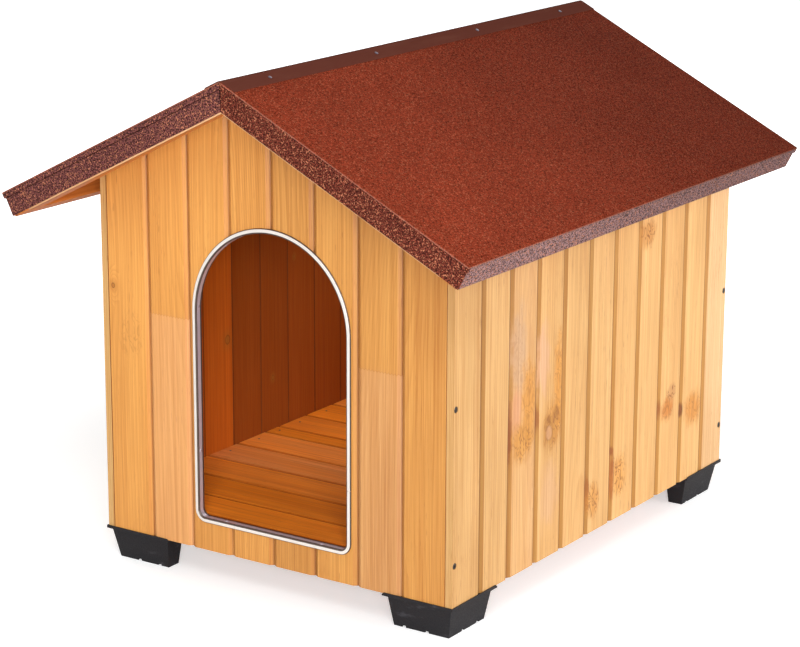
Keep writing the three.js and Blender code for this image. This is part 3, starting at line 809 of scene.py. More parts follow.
@dataclass(frozen=True)
class MineralFelt:
    """Roofing felt with coarse red-brown mineral granules, with painted sheen and shade on the bands where
    it is folded down.

    Attributes:
        name: The material's name.
        verge: Screen colour of the painted sheen that the band on the gable leans to.
        granule: Width of a granule.
        lip_drop: Height from the felt's top down to the fold's edge on the band.
        painted_falloff: Brightness at the front and at the rear, a painted falloff of the light along the
            roof.
    """

    name: str
    verge: str
    painted_falloff: tuple[float, float] = (1.12, 0.66)
    granule: float = 1.3 * MM
    lip_drop: float = 8.1 * MM

    BASE = tint("#9C4028")
    DARK = tint("#481608")
    PALE = tint("#CC8460")
    EAVE_SHEEN = tint("#AE9A9C")
    # the bitumen colour below marks the lap line, and also paints shade in the folds and among the bands'
    # granules
    TAR_AND_SHADE = tint("#2A1410")
    WORN_HIGHLIGHT = tint("#B0806C")

    BAND_FROM = 0.9 * MM  # heights below the felt's top between which its edge band begins
    BAND_TO = 2.2 * MM
    VERGE_FROM = HALF_ROOF - 4.5 * MM  # distances along the ridge between which the gable's band begins
    VERGE_TO = HALF_ROOF - 3.2 * MM
    LAP = 325.0 * MM  # place along the eave where the sheet's corner is lapped over
    CLUMP = 620.0
    FINES = 1400.0
    RELIEF = 0.5 * MM

    def build(self) -> bpy.types.Material:
        """Draws the granules, their relief and the tones of top, verge band and eave band, with painted
        sheen on the bands, painted shade in the folds and a painted falloff of light from front to rear.

        Returns:
            The material.
        """
        g = Graph(self.name)
        x, y, z = g.split(g.place)
        top = g.maths("MULTIPLY_ADD", g.maths("ABSOLUTE", x), -ROOF_RISE, FELT_RIDGE)
        drop = g.maths("SUBTRACT", top, z)
        ends = g.maths("ABSOLUTE", y)
        band = g.remap(drop, self.BAND_FROM, self.BAND_TO)
        verge = g.maths("MULTIPLY", band, g.remap(ends, self.VERGE_FROM, self.VERGE_TO))
        eave = g.maths("SUBTRACT", band, verge)

        cells = g.cells(g.place, 1 / self.granule)
        dice = g.split(cells.outputs["Color"])
        clump = g.noise(g.place, self.CLUMP, 1.0)
        fines = g.noise(g.place, self.FINES, 2.0)
        cloud = g.noise(g.place, 9, 3.0)
        dark = g.maths("MULTIPLY_ADD", g.remap(clump, 0.36, 0.64), 0.6, g.maths("MULTIPLY", dice[0], 0.4))
        colour = g.blend(dark, self.BASE, self.DARK)
        # painted sheen: the gable band and the eave band lean to greyer colours
        colour = g.blend(g.maths("MULTIPLY", verge, 0.6), colour, tint(self.verge))
        colour = g.blend(g.maths("MULTIPLY", eave, 0.6), colour, self.EAVE_SHEEN)
        # painted shade and highlight: the bands get dark specks and more pale granules, as their granules'
        # edges catch the light
        band_speck_shade = g.maths("MULTIPLY", g.remap(clump, 0.42, 0.6), g.maths("MULTIPLY", band, 0.85))
        colour = g.blend(band_speck_shade, colour, self.TAR_AND_SHADE)
        pale = g.remap(dice[1], 0.8, 0.95, 0.0, 0.5)
        pale = g.maths("MULTIPLY", pale, g.maths("MULTIPLY_ADD", band, 0.9, 0.45))
        colour = g.blend(pale, colour, self.PALE)
        # pale line along the top arris: a painted highlight, and worn granules
        arris = g.window(drop, 0.25 * MM, 1.5 * MM, 0.2 * MM)
        colour = g.blend(g.maths("MULTIPLY", arris, 0.35), colour, self.WORN_HIGHLIGHT)
        # painted shade: dark lines under the fold's edge and just under the rounded top edge
        fold = g.window(drop, self.lip_drop - 0.5 * MM, self.lip_drop + 0.5 * MM, 0.25 * MM)
        under = g.window(drop, 2.0 * MM, 3.0 * MM, 0.3 * MM)
        crease_shade = g.maths("MAXIMUM", g.maths("MULTIPLY", fold, 0.7), g.maths("MULTIPLY", under, 0.3))
        colour = g.blend(crease_shade, colour, self.TAR_AND_SHADE)
        lap = g.maths("MULTIPLY", g.window(y, self.LAP, self.LAP + 1.0 * MM, 0.3 * MM), eave)
        colour = g.blend(g.maths("MULTIPLY", lap, 0.7), colour, self.TAR_AND_SHADE)
        shade = g.maths("ADD", g.remap(cloud, 0.3, 0.7, 0.93, 1.05), g.remap(fines, 0.25, 0.75, -0.3, 0.3))
        # painted light falloff: the felt darkens from the front towards the rear, the bands less so
        light_falloff = g.remap(y, -HALF_ROOF, HALF_ROOF, *self.painted_falloff)
        shade = g.maths("MULTIPLY", shade, g.maths("MAXIMUM", light_falloff, g.maths("MULTIPLY", band, 0.84)))
        colour = g.blend(1.0, colour, g.grey(shade), "MULTIPLY")
        rise = g.maths("MULTIPLY_ADD", cells.outputs["Distance"], -0.9, dice[2])
        height = g.maths("MULTIPLY_ADD", fines, 0.35, rise)
        return g.surface(
            Base_Color=colour,
            Roughness=g.remap(dice[2], 0.0, 1.0, 0.8, 1.0),
            Normal=g.relief(height, self.RELIEF, 0.8),
            Specular_IOR_Level=0.03,
        )


@dataclass(frozen=True)
class CoatedSheet:
    """Dark brown coated sheet metal of the ridge cap.

    Attributes:
        name: The material's name.
    """

    name: str = "coated_sheet"

    PAINT = tint("#60342A")
    DUST = tint("#6E4436")
    SETTLED = Layer((70, 12, 70), 4.0)

    def build(self) -> bpy.types.Material:
        """Draws the coat with its faint orange peel and settled dust.

        Returns:
            The material.
        """
        g = Graph(self.name)
        dust = self.SETTLED.draw(g, g.place)
        peel = g.noise(g.place, 700, 1.0)
        return g.surface(
            Base_Color=g.blend(g.remap(dust, 0.45, 0.75, 0.0, 0.3), self.PAINT, self.DUST),
            Metallic=0.0,
            Roughness=g.remap(dust, 0.3, 0.7, 0.55, 0.7),
            Normal=g.relief(peel, 0.05 * MM, 0.5),
            Specular_IOR_Level=0.0,
        )


@dataclass(frozen=True)
class BareMetal:
    """Metal with fine drawn lines and a few duller patches.

    Attributes:
        name: The material's name.
        colour: Colour of the metal.
        roughness: Lowest and highest roughness.
        drawn: Pattern factors that stretch the drawn lines.
    """

    name: str
    colour: str
    roughness: tuple[float, float]
    drawn: Triple = (900, 900, 30)

    def build(self) -> bpy.types.Material:
        """Draws the metal.

        Returns:
            The material.
        """
        g = Graph(self.name)
        lines = Layer(self.drawn).draw(g, g.place)
        patch = g.noise(g.place, 45, 2.0)
        bright = tint(self.colour)
        dull = (*(c * 0.8 for c in bright[:3]), 1.0)
        dullness = g.remap(patch, 0.3, 0.7, *self.roughness)
        rough = g.maths("ADD", dullness, g.remap(lines, 0.2, 0.8, -0.04, 0.04))
        return g.surface(
            Base_Color=g.blend(g.remap(patch, 0.35, 0.75, 0.0, 0.6), bright, dull),
            Metallic=1.0,
            Roughness=rough,
            Normal=g.relief(lines, 0.02 * MM, 0.5),
        )


@dataclass(frozen=True)
class AnodisedEdging:
    """Bright anodised angle with painted light: a highlight on the face, shade on the rolled edges and a
    greyer reflection on the web.

    Attributes:
        name: The material's name.
        face: Place of the flange's crown, measured along Y.
        radius: Outer radius of the arch.
        spring: Height at which the arch begins.
        sill: Height of the flange's lower edge.
        corner: Outer radius of the lower corners.
        flange: Width of the flange.
    """

    name: str = "anodised_edging"
    face: float = -281.2 * MM
    radius: float = 103.4 * MM
    spring: float = 305.0 * MM
    sill: float = 68.5 * MM
    corner: float = 14.0 * MM
    flange: float = 5.8 * MM

    # the pale face is a painted highlight, the dark line painted shade and the web's colour a painted
    # reflection
    PALE = tint("#FCF6EE")
    EDGE_SHADE = tint("#5A4A42")
    WEB_REFLECTION = tint("#D6CED8")
    DRAWN = Layer((30, 2200, 30), 1.0)
    SCRATCH = Layer((900, 900, 90), 3.0, 3.0)
    OUTER_SHADE_LINE = 0.9 * MM  # width of the painted shade line along the flange's outer edge
    INNER_SHADE_LINE = 1.6 * MM  # and of the painted dark reflection along the bend
    WEB_FROM = 2.0 * MM  # distances behind the crown between which the web, with its painted reflection, shows
    WEB_TO = 7.2 * MM

    def build(self) -> bpy.types.Material:
        """Draws the metal with its painted highlight, shade and reflection, its drawn lines and light
        scratches.

        Returns:
            The material.
        """
        g = Graph(self.name)
        x, y, z = g.split(g.place)
        rim = self._rim(g, g.maths("ABSOLUTE", x), z)
        # painted highlight on the flange's face between painted shade lines on its rolled edges, and a
        # greyer painted reflection on the web
        face = g.window(rim, self.OUTER_SHADE_LINE, self.flange - self.INNER_SHADE_LINE, 0.25 * MM)
        web = g.window(g.maths("SUBTRACT", y, self.face), self.WEB_FROM, self.WEB_TO, 0.3 * MM)
        colour = g.blend(face, self.EDGE_SHADE, self.PALE)
        colour = g.blend(web, colour, self.WEB_REFLECTION)
        drawn = self.DRAWN.draw(g, g.place)
        scratch = self.SCRATCH.draw(g, g.place)
        scratched = g.remap(scratch, 0.62, 0.7, 0.0, -0.03)
        shade = g.maths("ADD", g.remap(drawn, 0.25, 0.75, 0.97, 1.02), scratched)
        return g.surface(
            Base_Color=g.blend(1.0, colour, g.grey(shade), "MULTIPLY"),
            Metallic=0.5,
            Roughness=g.remap(scratch, 0.3, 0.7, 0.3, 0.4),
            Normal=g.relief(drawn, 0.004 * MM, 0.3),
        )

    def _rim(self, g: Graph, x: Socket, z: Socket) -> Socket:
        """Measures how far a place lies inside the edging's outer outline.

        Args:
            g: The tree.
            x: Distance from the doorway's middle line.
            z: Height.

        Returns:
            The distance.
        """
        side = g.maths("SUBTRACT", x, self.radius - self.corner)
        down = g.maths("SUBTRACT", self.sill + self.corner, z)
        round_corner = g.distance(g.maths("MAXIMUM", side, 0.0), g.maths("MAXIMUM", down, 0.0))
        straight = g.maths("MINIMUM", g.maths("MAXIMUM", side, down), 0.0)
        low = g.maths("SUBTRACT", self.corner, g.maths("ADD", round_corner, straight))
        rise = g.maths("MAXIMUM", g.maths("SUBTRACT", z, self.spring), 0.0)
        high = g.maths("SUBTRACT", self.radius, g.distance(x, rise))
        above = g.maths("GREATER_THAN", z, self.spring)
        below = g.maths("SUBTRACT", 1.0, above)
        return g.maths("ADD", g.maths("MULTIPLY", high, above), g.maths("MULTIPLY", low, below))


@dataclass(frozen=True)
class MouldedPlastic:
    """Black moulded plastic with an eroded grain and scuffs.

    Attributes:
        name: The material's name.
    """

    name: str = "moulded_plastic"

    BLACK = tint("#1E1C1F")
    SCUFF = tint("#4C494F")
    RUBBED = Layer((60, 60, 160), 5.0)
    RELIEF = 0.16 * MM

    def build(self) -> bpy.types.Material:
        """Draws the grain and the scuffs.

        Returns:
            The material.
        """
        g = Graph(self.name)
        grain = g.noise(g.place, 950, 3.0)
        cells = g.cells(g.place, 620)
        scuff = self.RUBBED.draw(g, g.place)
        pits = g.maths("MULTIPLY", cells.outputs["Distance"], 0.5)
        height = g.maths("ADD", g.maths("MULTIPLY", grain, 0.6), pits)
        return g.surface(
            Base_Color=g.blend(g.remap(scuff, 0.58, 0.8, 0.0, 0.5), self.BLACK, self.SCUFF),
            Roughness=g.remap(grain, 0.3, 0.7, 0.42, 0.66),
            Normal=g.relief(height, self.RELIEF, 0.8),
            Specular_IOR_Level=0.3,
        )


# ---- bench tools ---------------------------------------------------------------------


def only(obj: bpy.types.Object) -> None:
    """Leaves nothing but one object selected and active.

    Args:
        obj: The object.
    """
    bpy.ops.object.select_all(action="DESELECT")
    obj.select_set(True)
    bpy.context.view_layer.objects.active = obj


def wear(obj: bpy.types.Object, material: bpy.types.Material) -> None:
    """Puts one material on a whole object.

    Args:
        obj: The object.
        material: What it wears.
    """
    obj.data.materials.clear()
    obj.data.materials.append(material)


def apply_all(obj: bpy.types.Object) -> None:
    """Applies an object's modifiers in order.

    Args:
        obj: The object.
    """
    only(obj)
    for modifier in list(obj.modifiers):
        bpy.ops.object.modifier_apply(modifier=modifier.name)


def smooth(obj: bpy.types.Object, angle: float = 35.0) -> None:
    """Shades an object smooth except over its sharp edges.

    Args:
        obj: The object.
        angle: Edges sharper than this stay sharp, in degrees.
    """
    only(obj)
    bpy.ops.object.shade_smooth_by_angle(angle=math.radians(angle))


def settle(obj: bpy.types.Object) -> None:
    """Moves an object's place, turn and scale into its mesh.

    Args:
        obj: The object.
    """
    only(obj)
    bpy.ops.object.transform_apply(location=True, rotation=True, scale=True)


def pick_faces(test: Callable[[Vector, Vector], bool]) -> None:
    """Selects the faces of the mesh in edit mode that pass a test.

    Args:
        test: Takes a face's middle and its normal, and says whether it is picked.
    """
    bpy.ops.mesh.select_mode(type="FACE")
    bpy.ops.mesh.select_all(action="DESELECT")
    mesh = bmesh.from_edit_mesh(bpy.context.edit_object.data)
    for face in mesh.faces:
        face.select_set(test(face.calc_center_median(), face.normal))
    bmesh.update_edit_mesh(bpy.context.edit_object.data)


def carve(obj: bpy.types.Object, cutter: bpy.types.Object) -> None:
    """Cuts one object out of another and throws the cutter away.

    Args:
        obj: The object that is cut.
        cutter: The shape that is cut out of it.
    """
    cut = obj.modifiers.new("cut", "BOOLEAN")
    cut.operation = "DIFFERENCE"
    cut.solver = "EXACT"
    cut.object = cutter
    apply_all(obj)
    bpy.data.objects.remove(cutter)


@dataclass
class Joinery:
    """Finishes sawn or moulded pieces by easing their edges.

    Attributes:
        nodes: The frame's pieces by name.
        body_of: The body that carries each piece.
        slot_of: The finish slot of each piece; not used.
        weld: Corners nearer to each other than this are one.
        flat: Faces that meet at less than this angle are one, in degrees.
        sink_radii: Radii of a countersink's cone, deep in the wood and outside it.
        sink_depth: Length of that cone.
        sink_inward: How far its middle lies inside the wall's face.
    """

    nodes: dict[str, bpy.types.Object]
    body_of: dict[str, str]
    slot_of: dict[str, str]
    weld: float = 0.005 * MM
    flat: float = 0.5
    sink_radii: tuple[float, float] = (2.4 * MM, 4.1 * MM)
    sink_depth: float = 3.0 * MM
    sink_inward: float = 0.9 * MM

    def eased(
        self,
        node: str,
        width: float,
        segments: int = 2,
        angle: float = 25.0,
        countersinks: tuple[Triple, ...] = (),
    ) -> bpy.types.Object:
        """Makes a welded copy of a piece with rounded edges, which then stands for it.

        Args:
            node: Name of the piece.
            width: Width of the rounding.
            segments: Faces across the rounding.
            angle: Edges sharper than this are rounded, in degrees.
            countersinks: Places on a side wall where a screw's head is let in.

        Returns:
            The finished copy.
        """
        mesh = self.nodes[node].data.copy()
        copy = bpy.data.objects.new(f"{node}_eased", mesh)
        bpy.context.scene.collection.objects.link(copy)
        only(copy)
        bpy.ops.object.mode_set(mode="EDIT")
        bpy.ops.mesh.select_all(action="SELECT")
        bpy.ops.mesh.remove_doubles(threshold=self.weld)
        bpy.ops.mesh.dissolve_limited(angle_limit=math.radians(self.flat))
        bpy.ops.object.mode_set(mode="OBJECT")
        bevel = copy.modifiers.new("ease", "BEVEL")
        bevel.width = width
        bevel.segments = segments
        bevel.limit_method = "ANGLE"
        bevel.angle_limit = math.radians(angle)
        bevel.use_clamp_overlap = True
        apply_all(copy)
        for place in countersinks:
            carve(copy, self._countersink(Vector(place)))
        smooth(copy)
        weight = copy.modifiers.new("weight", "WEIGHTED_NORMAL")
        weight.keep_sharp = True
        apply_all(copy)
        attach(copy, self.body_of[node])
        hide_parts(node)
        log.info("%s stands for %s", copy.name, node)
        return copy

    def _countersink(self, place: Vector) -> bpy.types.Object:
        """Makes the cone that lets a screw's head into a side wall.

        Args:
            place: The screw's place on the wall's face.

        Returns:
            The cone.
        """
        bpy.ops.object.select_all(action="DESELECT")
        bpy.ops.mesh.primitive_cone_add(
            vertices=28,
            radius1=self.sink_radii[0],
            radius2=self.sink_radii[1],
            depth=self.sink_depth,
            location=place - Vector((math.copysign(self.sink_inward, place.x), 0.0, 0.0)),
            rotation=(0.0, math.copysign(math.pi / 2, place.x), 0.0),
        )
        return bpy.context.object


@dataclass
class Fasteners:
    """Nails and screws. Each kind is made once, and then copied to its places.

    Attributes:
        sides: Corners of a head's round outline.
        dome: Steps of a nail's dome: an inset in radii and a lift in rises.
        spin: How much further each screw or nail is turned than the one before.
    """

    sides: int = 20
    dome: tuple[tuple[float, float], ...] = ((0.2, 0.28), (0.28, 0.18), (0.3, 0.08))
    spin: float = 0.7

    def nail(self, radius: float, rise: float) -> bpy.types.Object:
        """Makes a nail head with a low dome, facing up at the origin.

        Args:
            radius: Radius of the head.
            rise: Height of the head.

        Returns:
            The pattern.
        """
        bpy.ops.object.select_all(action="DESELECT")
        bpy.ops.mesh.primitive_cylinder_add(
            vertices=self.sides, radius=radius, depth=rise, location=(0.0, 0.0, rise * 0.1)
        )
        head = bpy.context.object
        bpy.ops.object.mode_set(mode="EDIT")
        for share, lift in self.dome:
            pick_faces(lambda middle, normal: normal.z > 0.9 and middle.xy.length < radius * 0.1)
            bpy.ops.mesh.inset(thickness=radius * share)
            bpy.ops.transform.translate(value=(0.0, 0.0, rise * lift))
        bpy.ops.object.mode_set(mode="OBJECT")
        settle(head)
        return head

    def screw(self, radius: float) -> bpy.types.Object:
        """Makes a countersunk head with a cross recess, facing up at the origin.

        Args:
            radius: Radius of the head.

        Returns:
            The pattern.
        """
        bpy.ops.object.select_all(action="DESELECT")
        bpy.ops.mesh.primitive_cone_add(
            vertices=self.sides,
            radius1=radius * 0.45,
            radius2=radius,
            depth=radius * 0.6,
            location=(0.0, 0.0, -radius * 0.3),
        )
        head = bpy.context.object
        bpy.ops.object.mode_set(mode="EDIT")
        pick_faces(lambda middle, normal: normal.z > 0.9)
        bpy.ops.mesh.inset(thickness=radius * 0.1)
        bpy.ops.transform.translate(value=(0.0, 0.0, radius * 0.06))
        bpy.ops.object.mode_set(mode="OBJECT")
        settle(head)
        for turn in (0.0, math.pi / 2):
            carve(head, self._recess_arm(radius, turn))
        return head

    @staticmethod
    def _recess_arm(radius: float, turn: float) -> bpy.types.Object:
        """Makes the tapered blade that cuts one arm of a cross recess.

        Args:
            radius: Radius of the screw's head.
            turn: The arm's turn about the screw's axis.

        Returns:
            The blade.
        """
        bpy.ops.object.select_all(action="DESELECT")
        bpy.ops.mesh.primitive_cube_add(size=1.0, location=(0.0, 0.0, 0.0), rotation=(0.0, 0.0, turn))
        blade = bpy.context.object
        blade.scale = (radius * 1.15, radius * 0.26, radius * 0.7)
        settle(blade)
        bpy.ops.object.mode_set(mode="EDIT")
        pick_faces(lambda middle, normal: normal.z < -0.9)
        bpy.ops.transform.resize(value=(0.45, 0.45, 1.0))
        bpy.ops.object.mode_set(mode="OBJECT")
        return blade

    def drive(
        self,
        pattern: bpy.types.Object,
        name: str,
        places: list[tuple[Triple, Triple]],
        finish: bpy.types.Material,
        body: str,
        slot: str,
    ) -> None:
        """Sets a copy of a head at every place and throws the pattern away.

        Args:
            pattern: The head, facing up at the origin.
            name: Start of the copies' names.
            places: Each head's place and the way that it faces.
            finish: The heads' material.
            body: The body that carries them.
            slot: The finish slot meant for them; not used.
        """
        for index, (place, facing) in enumerate(places, 1):
            mesh = pattern.data.copy()
            turn = Vector(facing).to_track_quat("Z", "Y").to_matrix().to_4x4()
            spin = Matrix.Rotation(self.spin * index, 4, "Z")
            mesh.transform(Matrix.Translation(place) @ turn @ spin)
            head = bpy.data.objects.new(f"{name}_{index}", mesh)
            bpy.context.scene.collection.objects.link(head)
            smooth(head, 40.0)
            wear(head, finish)
            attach(head, body)
        bpy.data.objects.remove(pattern)
        log.info("%s: %d heads", name, len(places))


# ---- sub-assemblies ------------------------------------------------------------------

# what the pine of both side walls has in common
SIDE_STAIN: dict[str, object] = {
    "groove": 0.88,
    "early": "#EFBC7A",
    "late": "#CF9250",
    "deep": "#A87430",
    "seam_line": 0.3,
}


@dataclass
class Walls:
    """The boards of the four walls, the posts in their corners and the screws of the side walls.

    Attributes:
        joinery: Makes the eased pieces.
        fasteners: Makes the screws.
        ease: Rounding of the boards' edges.
        screw_radius: Radius of a screw's head.
        screw_lines: Places along the wall of the two upright rows of screws.
        screw_heights: Heights of the screws.
        screw_depth: How far the screws' heads are driven in.
        post_ease: Rounding of the posts' edges.
        front_tones: Brightness of the front wall's boards, from the left.
        side_lit_tones: Brightness of a side wall's boards, from the front; their rise towards the rear is
            painted light.
    """

    joinery: Joinery
    fasteners: Fasteners
    ease: float = 0.5 * MM
    screw_radius: float = 3.3 * MM
    screw_lines: tuple[float, float] = (-274.5 * MM, 318.5 * MM)
    screw_heights: tuple[float, ...] = (83.0 * MM, 250.5 * MM, 417.0 * MM)
    screw_depth: float = 0.35 * MM
    post_ease: float = 0.8 * MM
    front_tones: tuple[float, ...] = (1.09, 1.08, 1.0, 0.95, 0.85, 0.87, 0.82, 0.85)
    # the side walls' boards brighten towards the rear: painted light, over each board's own tone
    side_lit_tones: tuple[float, ...] = (0.8, 0.78, 0.84, 0.89, 0.87, 0.85, 0.95, 0.94, 0.98, 0.97, 1.04)

    def build(self) -> None:
        """Makes and dresses the boards, the rear panel, the posts and the screws."""
        for node in sorted(n for n in self.joinery.nodes if "board" in n):
            self._board(node)
        self._rear_panel()
        self._posts()
        self._screws()

    def _board(self, node: str) -> None:
        """Eases and dresses one board.

        Args:
            node: The board's name, such as right_board_3 or front_board_4_upper.
        """
        wall, _, rest = node.partition("_board_")
        number = int(rest.split("_")[0])
        lay, face = self._lay(wall, number)
        tones = self.front_tones if wall == "front" else self.side_lit_tones
        index = number + {"front": 0, "right": 20, "left": 40}[wall]
        if rest.endswith("lower"):
            index += 0.5
        # uneven steps of a sine spread the values over the boards without a pattern that shows
        usual: dict[str, object] = {
            "seed": 2.0 + 1.37 * index,
            "tone": tones[number - 1],
            "pith": (0.05 * math.sin(index * 1.9), 0.055 + 0.025 * math.sin(index * 1.1)),
            "contrast": 0.36 + 0.12 * math.sin(index * 3.1),
            "ring": (2.3 + 0.5 * math.sin(index * 2.3)) * MM,
            # painted shade on every board's inner face
            "painted_shade": 0.95,
            "edge": BOARD / 2 - 0.15 * MM,
        }
        character = {"front": self._front, "right": self._right, "left": self._left}[wall](number)
        pine = Pine(name=f"pine_{node}", origin=face, lay=lay, **(usual | character))
        countersinks: tuple[Triple, ...] = ()
        if wall != "front" and number in (1, len(self.side_lit_tones)):
            line = self.screw_lines[0 if number == 1 else 1]
            side = WALL_SIDE if wall == "right" else -WALL_SIDE
            countersinks = tuple((side, line, height) for height in self.screw_heights)
        wear(self.joinery.eased(node, self.ease, countersinks=countersinks), pine.build())

    @staticmethod
    def _lay(wall: str, number: int) -> tuple[Lay, Triple]:
        """Says how a board lies and where it is.

        Args:
            wall: The wall's name.
            number: The board's number in it.

        Returns:
            How it lies, and a point on the middle line of its face.
        """
        middle = (number - 0.5) * BOARD
        if wall == "front":
            return Lay.FRONT_WALL, (middle - 4 * BOARD, FRONT_Y, 0.0)
        if wall == "right":
            return Lay.RIGHT_WALL, (WALL_SIDE, FRONT_Y + middle, 0.0)
        return Lay.LEFT_WALL, (-WALL_SIDE, FRONT_Y + middle, 0.0)

    @staticmethod
    def _front(number: int) -> dict[str, object]:
        """Gives a board of the front wall its knots, patches, joint and stain.

        Args:
            number: The board's number, from the left.

        Returns:
            The fields of its pine that differ from the usual ones.
        """
        common: dict[str, object] = {
            "groove": 0.35,
            "early": "#E4A252",
            "late": "#BE742C",
            "deep": "#B06C28",
            "contrast": 0.34,
            "grit": 0.9,
        }
        own: dict[int, dict[str, object]] = {
            1: {
                "knots": (Knot(-21.0, 317.5, 2.8),),
                "figures": (Figure(3.0, 266.5, 16, 26, "#D0924A", 0.2, 0.3),),
            },
            2: {"finger_joint": 295.0 * MM},
            4: {"contrast": 0.6},
            5: {"contrast": 0.6},
            7: {"finger_joint": 277.5 * MM},
        }
        return common | own.get(number, {})

    @staticmethod
    def _left(number: int) -> dict[str, object]:
        """Gives a board of the left wall its knot and the painted shade of its inner side.

        Args:
            number: The board's number, from the front.

        Returns:
            The fields of its pine that differ from the usual ones.
        """
        knots = {
            4: Knot(-18.0, 207.0, 5.0, sway=1.3, strength=0.7),
            6: Knot(4.0, 140.0, 2.6, sway=1.3, strength=0.7),
            7: Knot(14.0, 281.0, 2.0, sway=1.3, strength=0.7),
            10: Knot(-8.0, 330.0, 4.0, sway=1.3, strength=0.7),
        }
        return SIDE_STAIN | {
            "knots": (knots[number],) if number in knots else (),
            # painted shade on the inner face, deeper on the boards further back
            "shade_colour": "#CC6210" if number < 5 else "#964206",
            "shine": 0.3,
        }

    @staticmethod
    def _right(number: int) -> dict[str, object]:
        """Gives a board of the right wall its knots, patches and stain.

        Args:
            number: The board's number, from the front.

        Returns:
            The fields of its pine that differ from the usual ones.
        """
        red, gold = "#8A4A1E", "#E09C46"
        own: dict[int, dict[str, object]] = {
            1: {"knots": (Knot(25.0, 332.5, 2.6),)},
            3: {
                "rosy": 0.3,
                "figures": (
                    Figure(-12.0, 285.0, 16, 52, "#D4AC88", 0.7, 0.25),
                    Figure(-14.0, 218.0, 12, 26, "#E2A078", 0.7, 0.0),
                    Figure(10.0, 222.0, 16, 50, gold, 0.9, 0.4),
                    Figure(-4.0, 182.0, 24, 24, "#D8963F", 0.8, 0.7),
                    Figure(-27.0, 194.0, 4, 34, red, 0.9, 0.4),
                ),
            },
            4: {
                "knots": (Knot(-2.0, 178.0, 8.0, 1.4, 0.8, 0.9),),
                "figures": (
                    Figure(-16.0, 262.0, 13, 46, "#E2B08C", 0.7, 0.0),
                    Figure(18.0, 232.0, 12, 56, gold, 0.9, 0.5),
                    Figure(6.0, 186.0, 22, 27, "#D8943C", 0.75, 0.85),
                    Figure(13.0, 197.0, 6, 9, "#8E5A20", 0.55, 1.0),
                    Figure(-3.0, 193.0, 6, 5, "#9A5E26", 0.45, 1.0),
                    Figure(-26.5, 198.0, 4, 16, red, 0.75, 0.2),
                    Figure(0.0, 110.0, 20, 40, "#E0B088", 0.5, 0.0),
                ),
            },
            6: {
                "figures": (
                    Figure(-25.0, 86.0, 4, 22, "#9A5420", 0.7, 0.8),
                    Figure(-12.0, 74.0, 14, 22, gold, 0.7, 0.9),
                ),
            },
            7: {
                "figures": (
                    Figure(-25.5, 119.0, 3.5, 6, red, 0.85, 0.2),
                    Figure(-23.5, 88.0, 4.5, 28, "#9C5220", 0.7, 0.9),
                    Figure(-8.0, 86.0, 15, 26, gold, 0.65, 0.95),
                ),
            },
            8: {"figures": (Figure(-10.0, 357.0, 19, 17, "#CE8C40", 0.7, 0.95),)},
            9: {
                "figures": (
                    Figure(-26.0, 141.0, 3.5, 13, red, 0.75, 0.3),
                    Figure(-6.0, 137.0, 17, 15, "#CE8030", 0.85, 0.6),
                    Figure(4.0, 155.0, 12, 10, "#BE8450", 0.5, 1.0),
                ),
            },
            10: {
                "figures": (
                    Figure(-25.5, 126.0, 3.5, 9, "#6A3414", 0.85, 0.2),
                    Figure(4.0, 122.0, 22, 22, "#D88E38", 0.8, 0.5),
                ),
            },
            11: {"early": "#F0C490", "late": "#D8A56C"},
        }
        return SIDE_STAIN | own.get(number, {})

    def _rear_panel(self) -> None:
        """Dresses the rear wall, whose boards are glued up as a panel."""
        seams = tuple((-3 + k) * BOARD for k in range(7))
        pine = Pine(
            name="pine_rear_wall",
            origin=(0.0, REAR_Y, 0.0),
            lay=Lay.REAR_WALL,
            seed=91.0,
            early="#F2BC7C",
            late="#D89856",
            groove=0.45,
            seams=seams,
            tones=(0.98, 1.03, 0.96, 1.0, 1.04, 0.97, 1.01, 0.98),
            blush=(0.0, 0.0, 0.3, 0.0, 0.1, 0.0, 0.25, 0.0),
            # painted shade on the panel's inner face
            painted_shade=0.95,
            shade_colour="#A04A0A",
            shine=0.5,
        )
        wear(self.joinery.eased("rear_wall_panel", self.ease), pine.build())

    def _posts(self) -> None:
        """Dresses the four square posts in the corners."""
        for index, node in enumerate(n for n in self.joinery.nodes if n.startswith("corner_post")):
            low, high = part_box(node)
            pine = Pine(
                name=f"pine_{node}",
                origin=((low.x + high.x) / 2, low.y, 0.0),
                lay=Lay.FRONT_WALL,
                seed=70.0 + 2.3 * index,
                stain=0.45,
                contrast=0.3,
                groove=0.0,
            )
            wear(self.joinery.eased(node, self.post_ease), pine.build())

    def _screws(self) -> None:
        """Drives the screws that hold the side walls to the posts."""
        steel = BareMetal("dulled_screw", "#57504C", (0.38, 0.5)).build()
        places = [
            ((side * (WALL_SIDE - self.screw_depth), line, height), (float(side), 0.0, 0.0))
            for side in (-1, 1)
            for line in self.screw_lines
            for height in self.screw_heights
        ]
        pattern = self.fasteners.screw(self.screw_radius)
        self.fasteners.drive(pattern, "wall_screw", places, steel, "house", "zinc_steel")


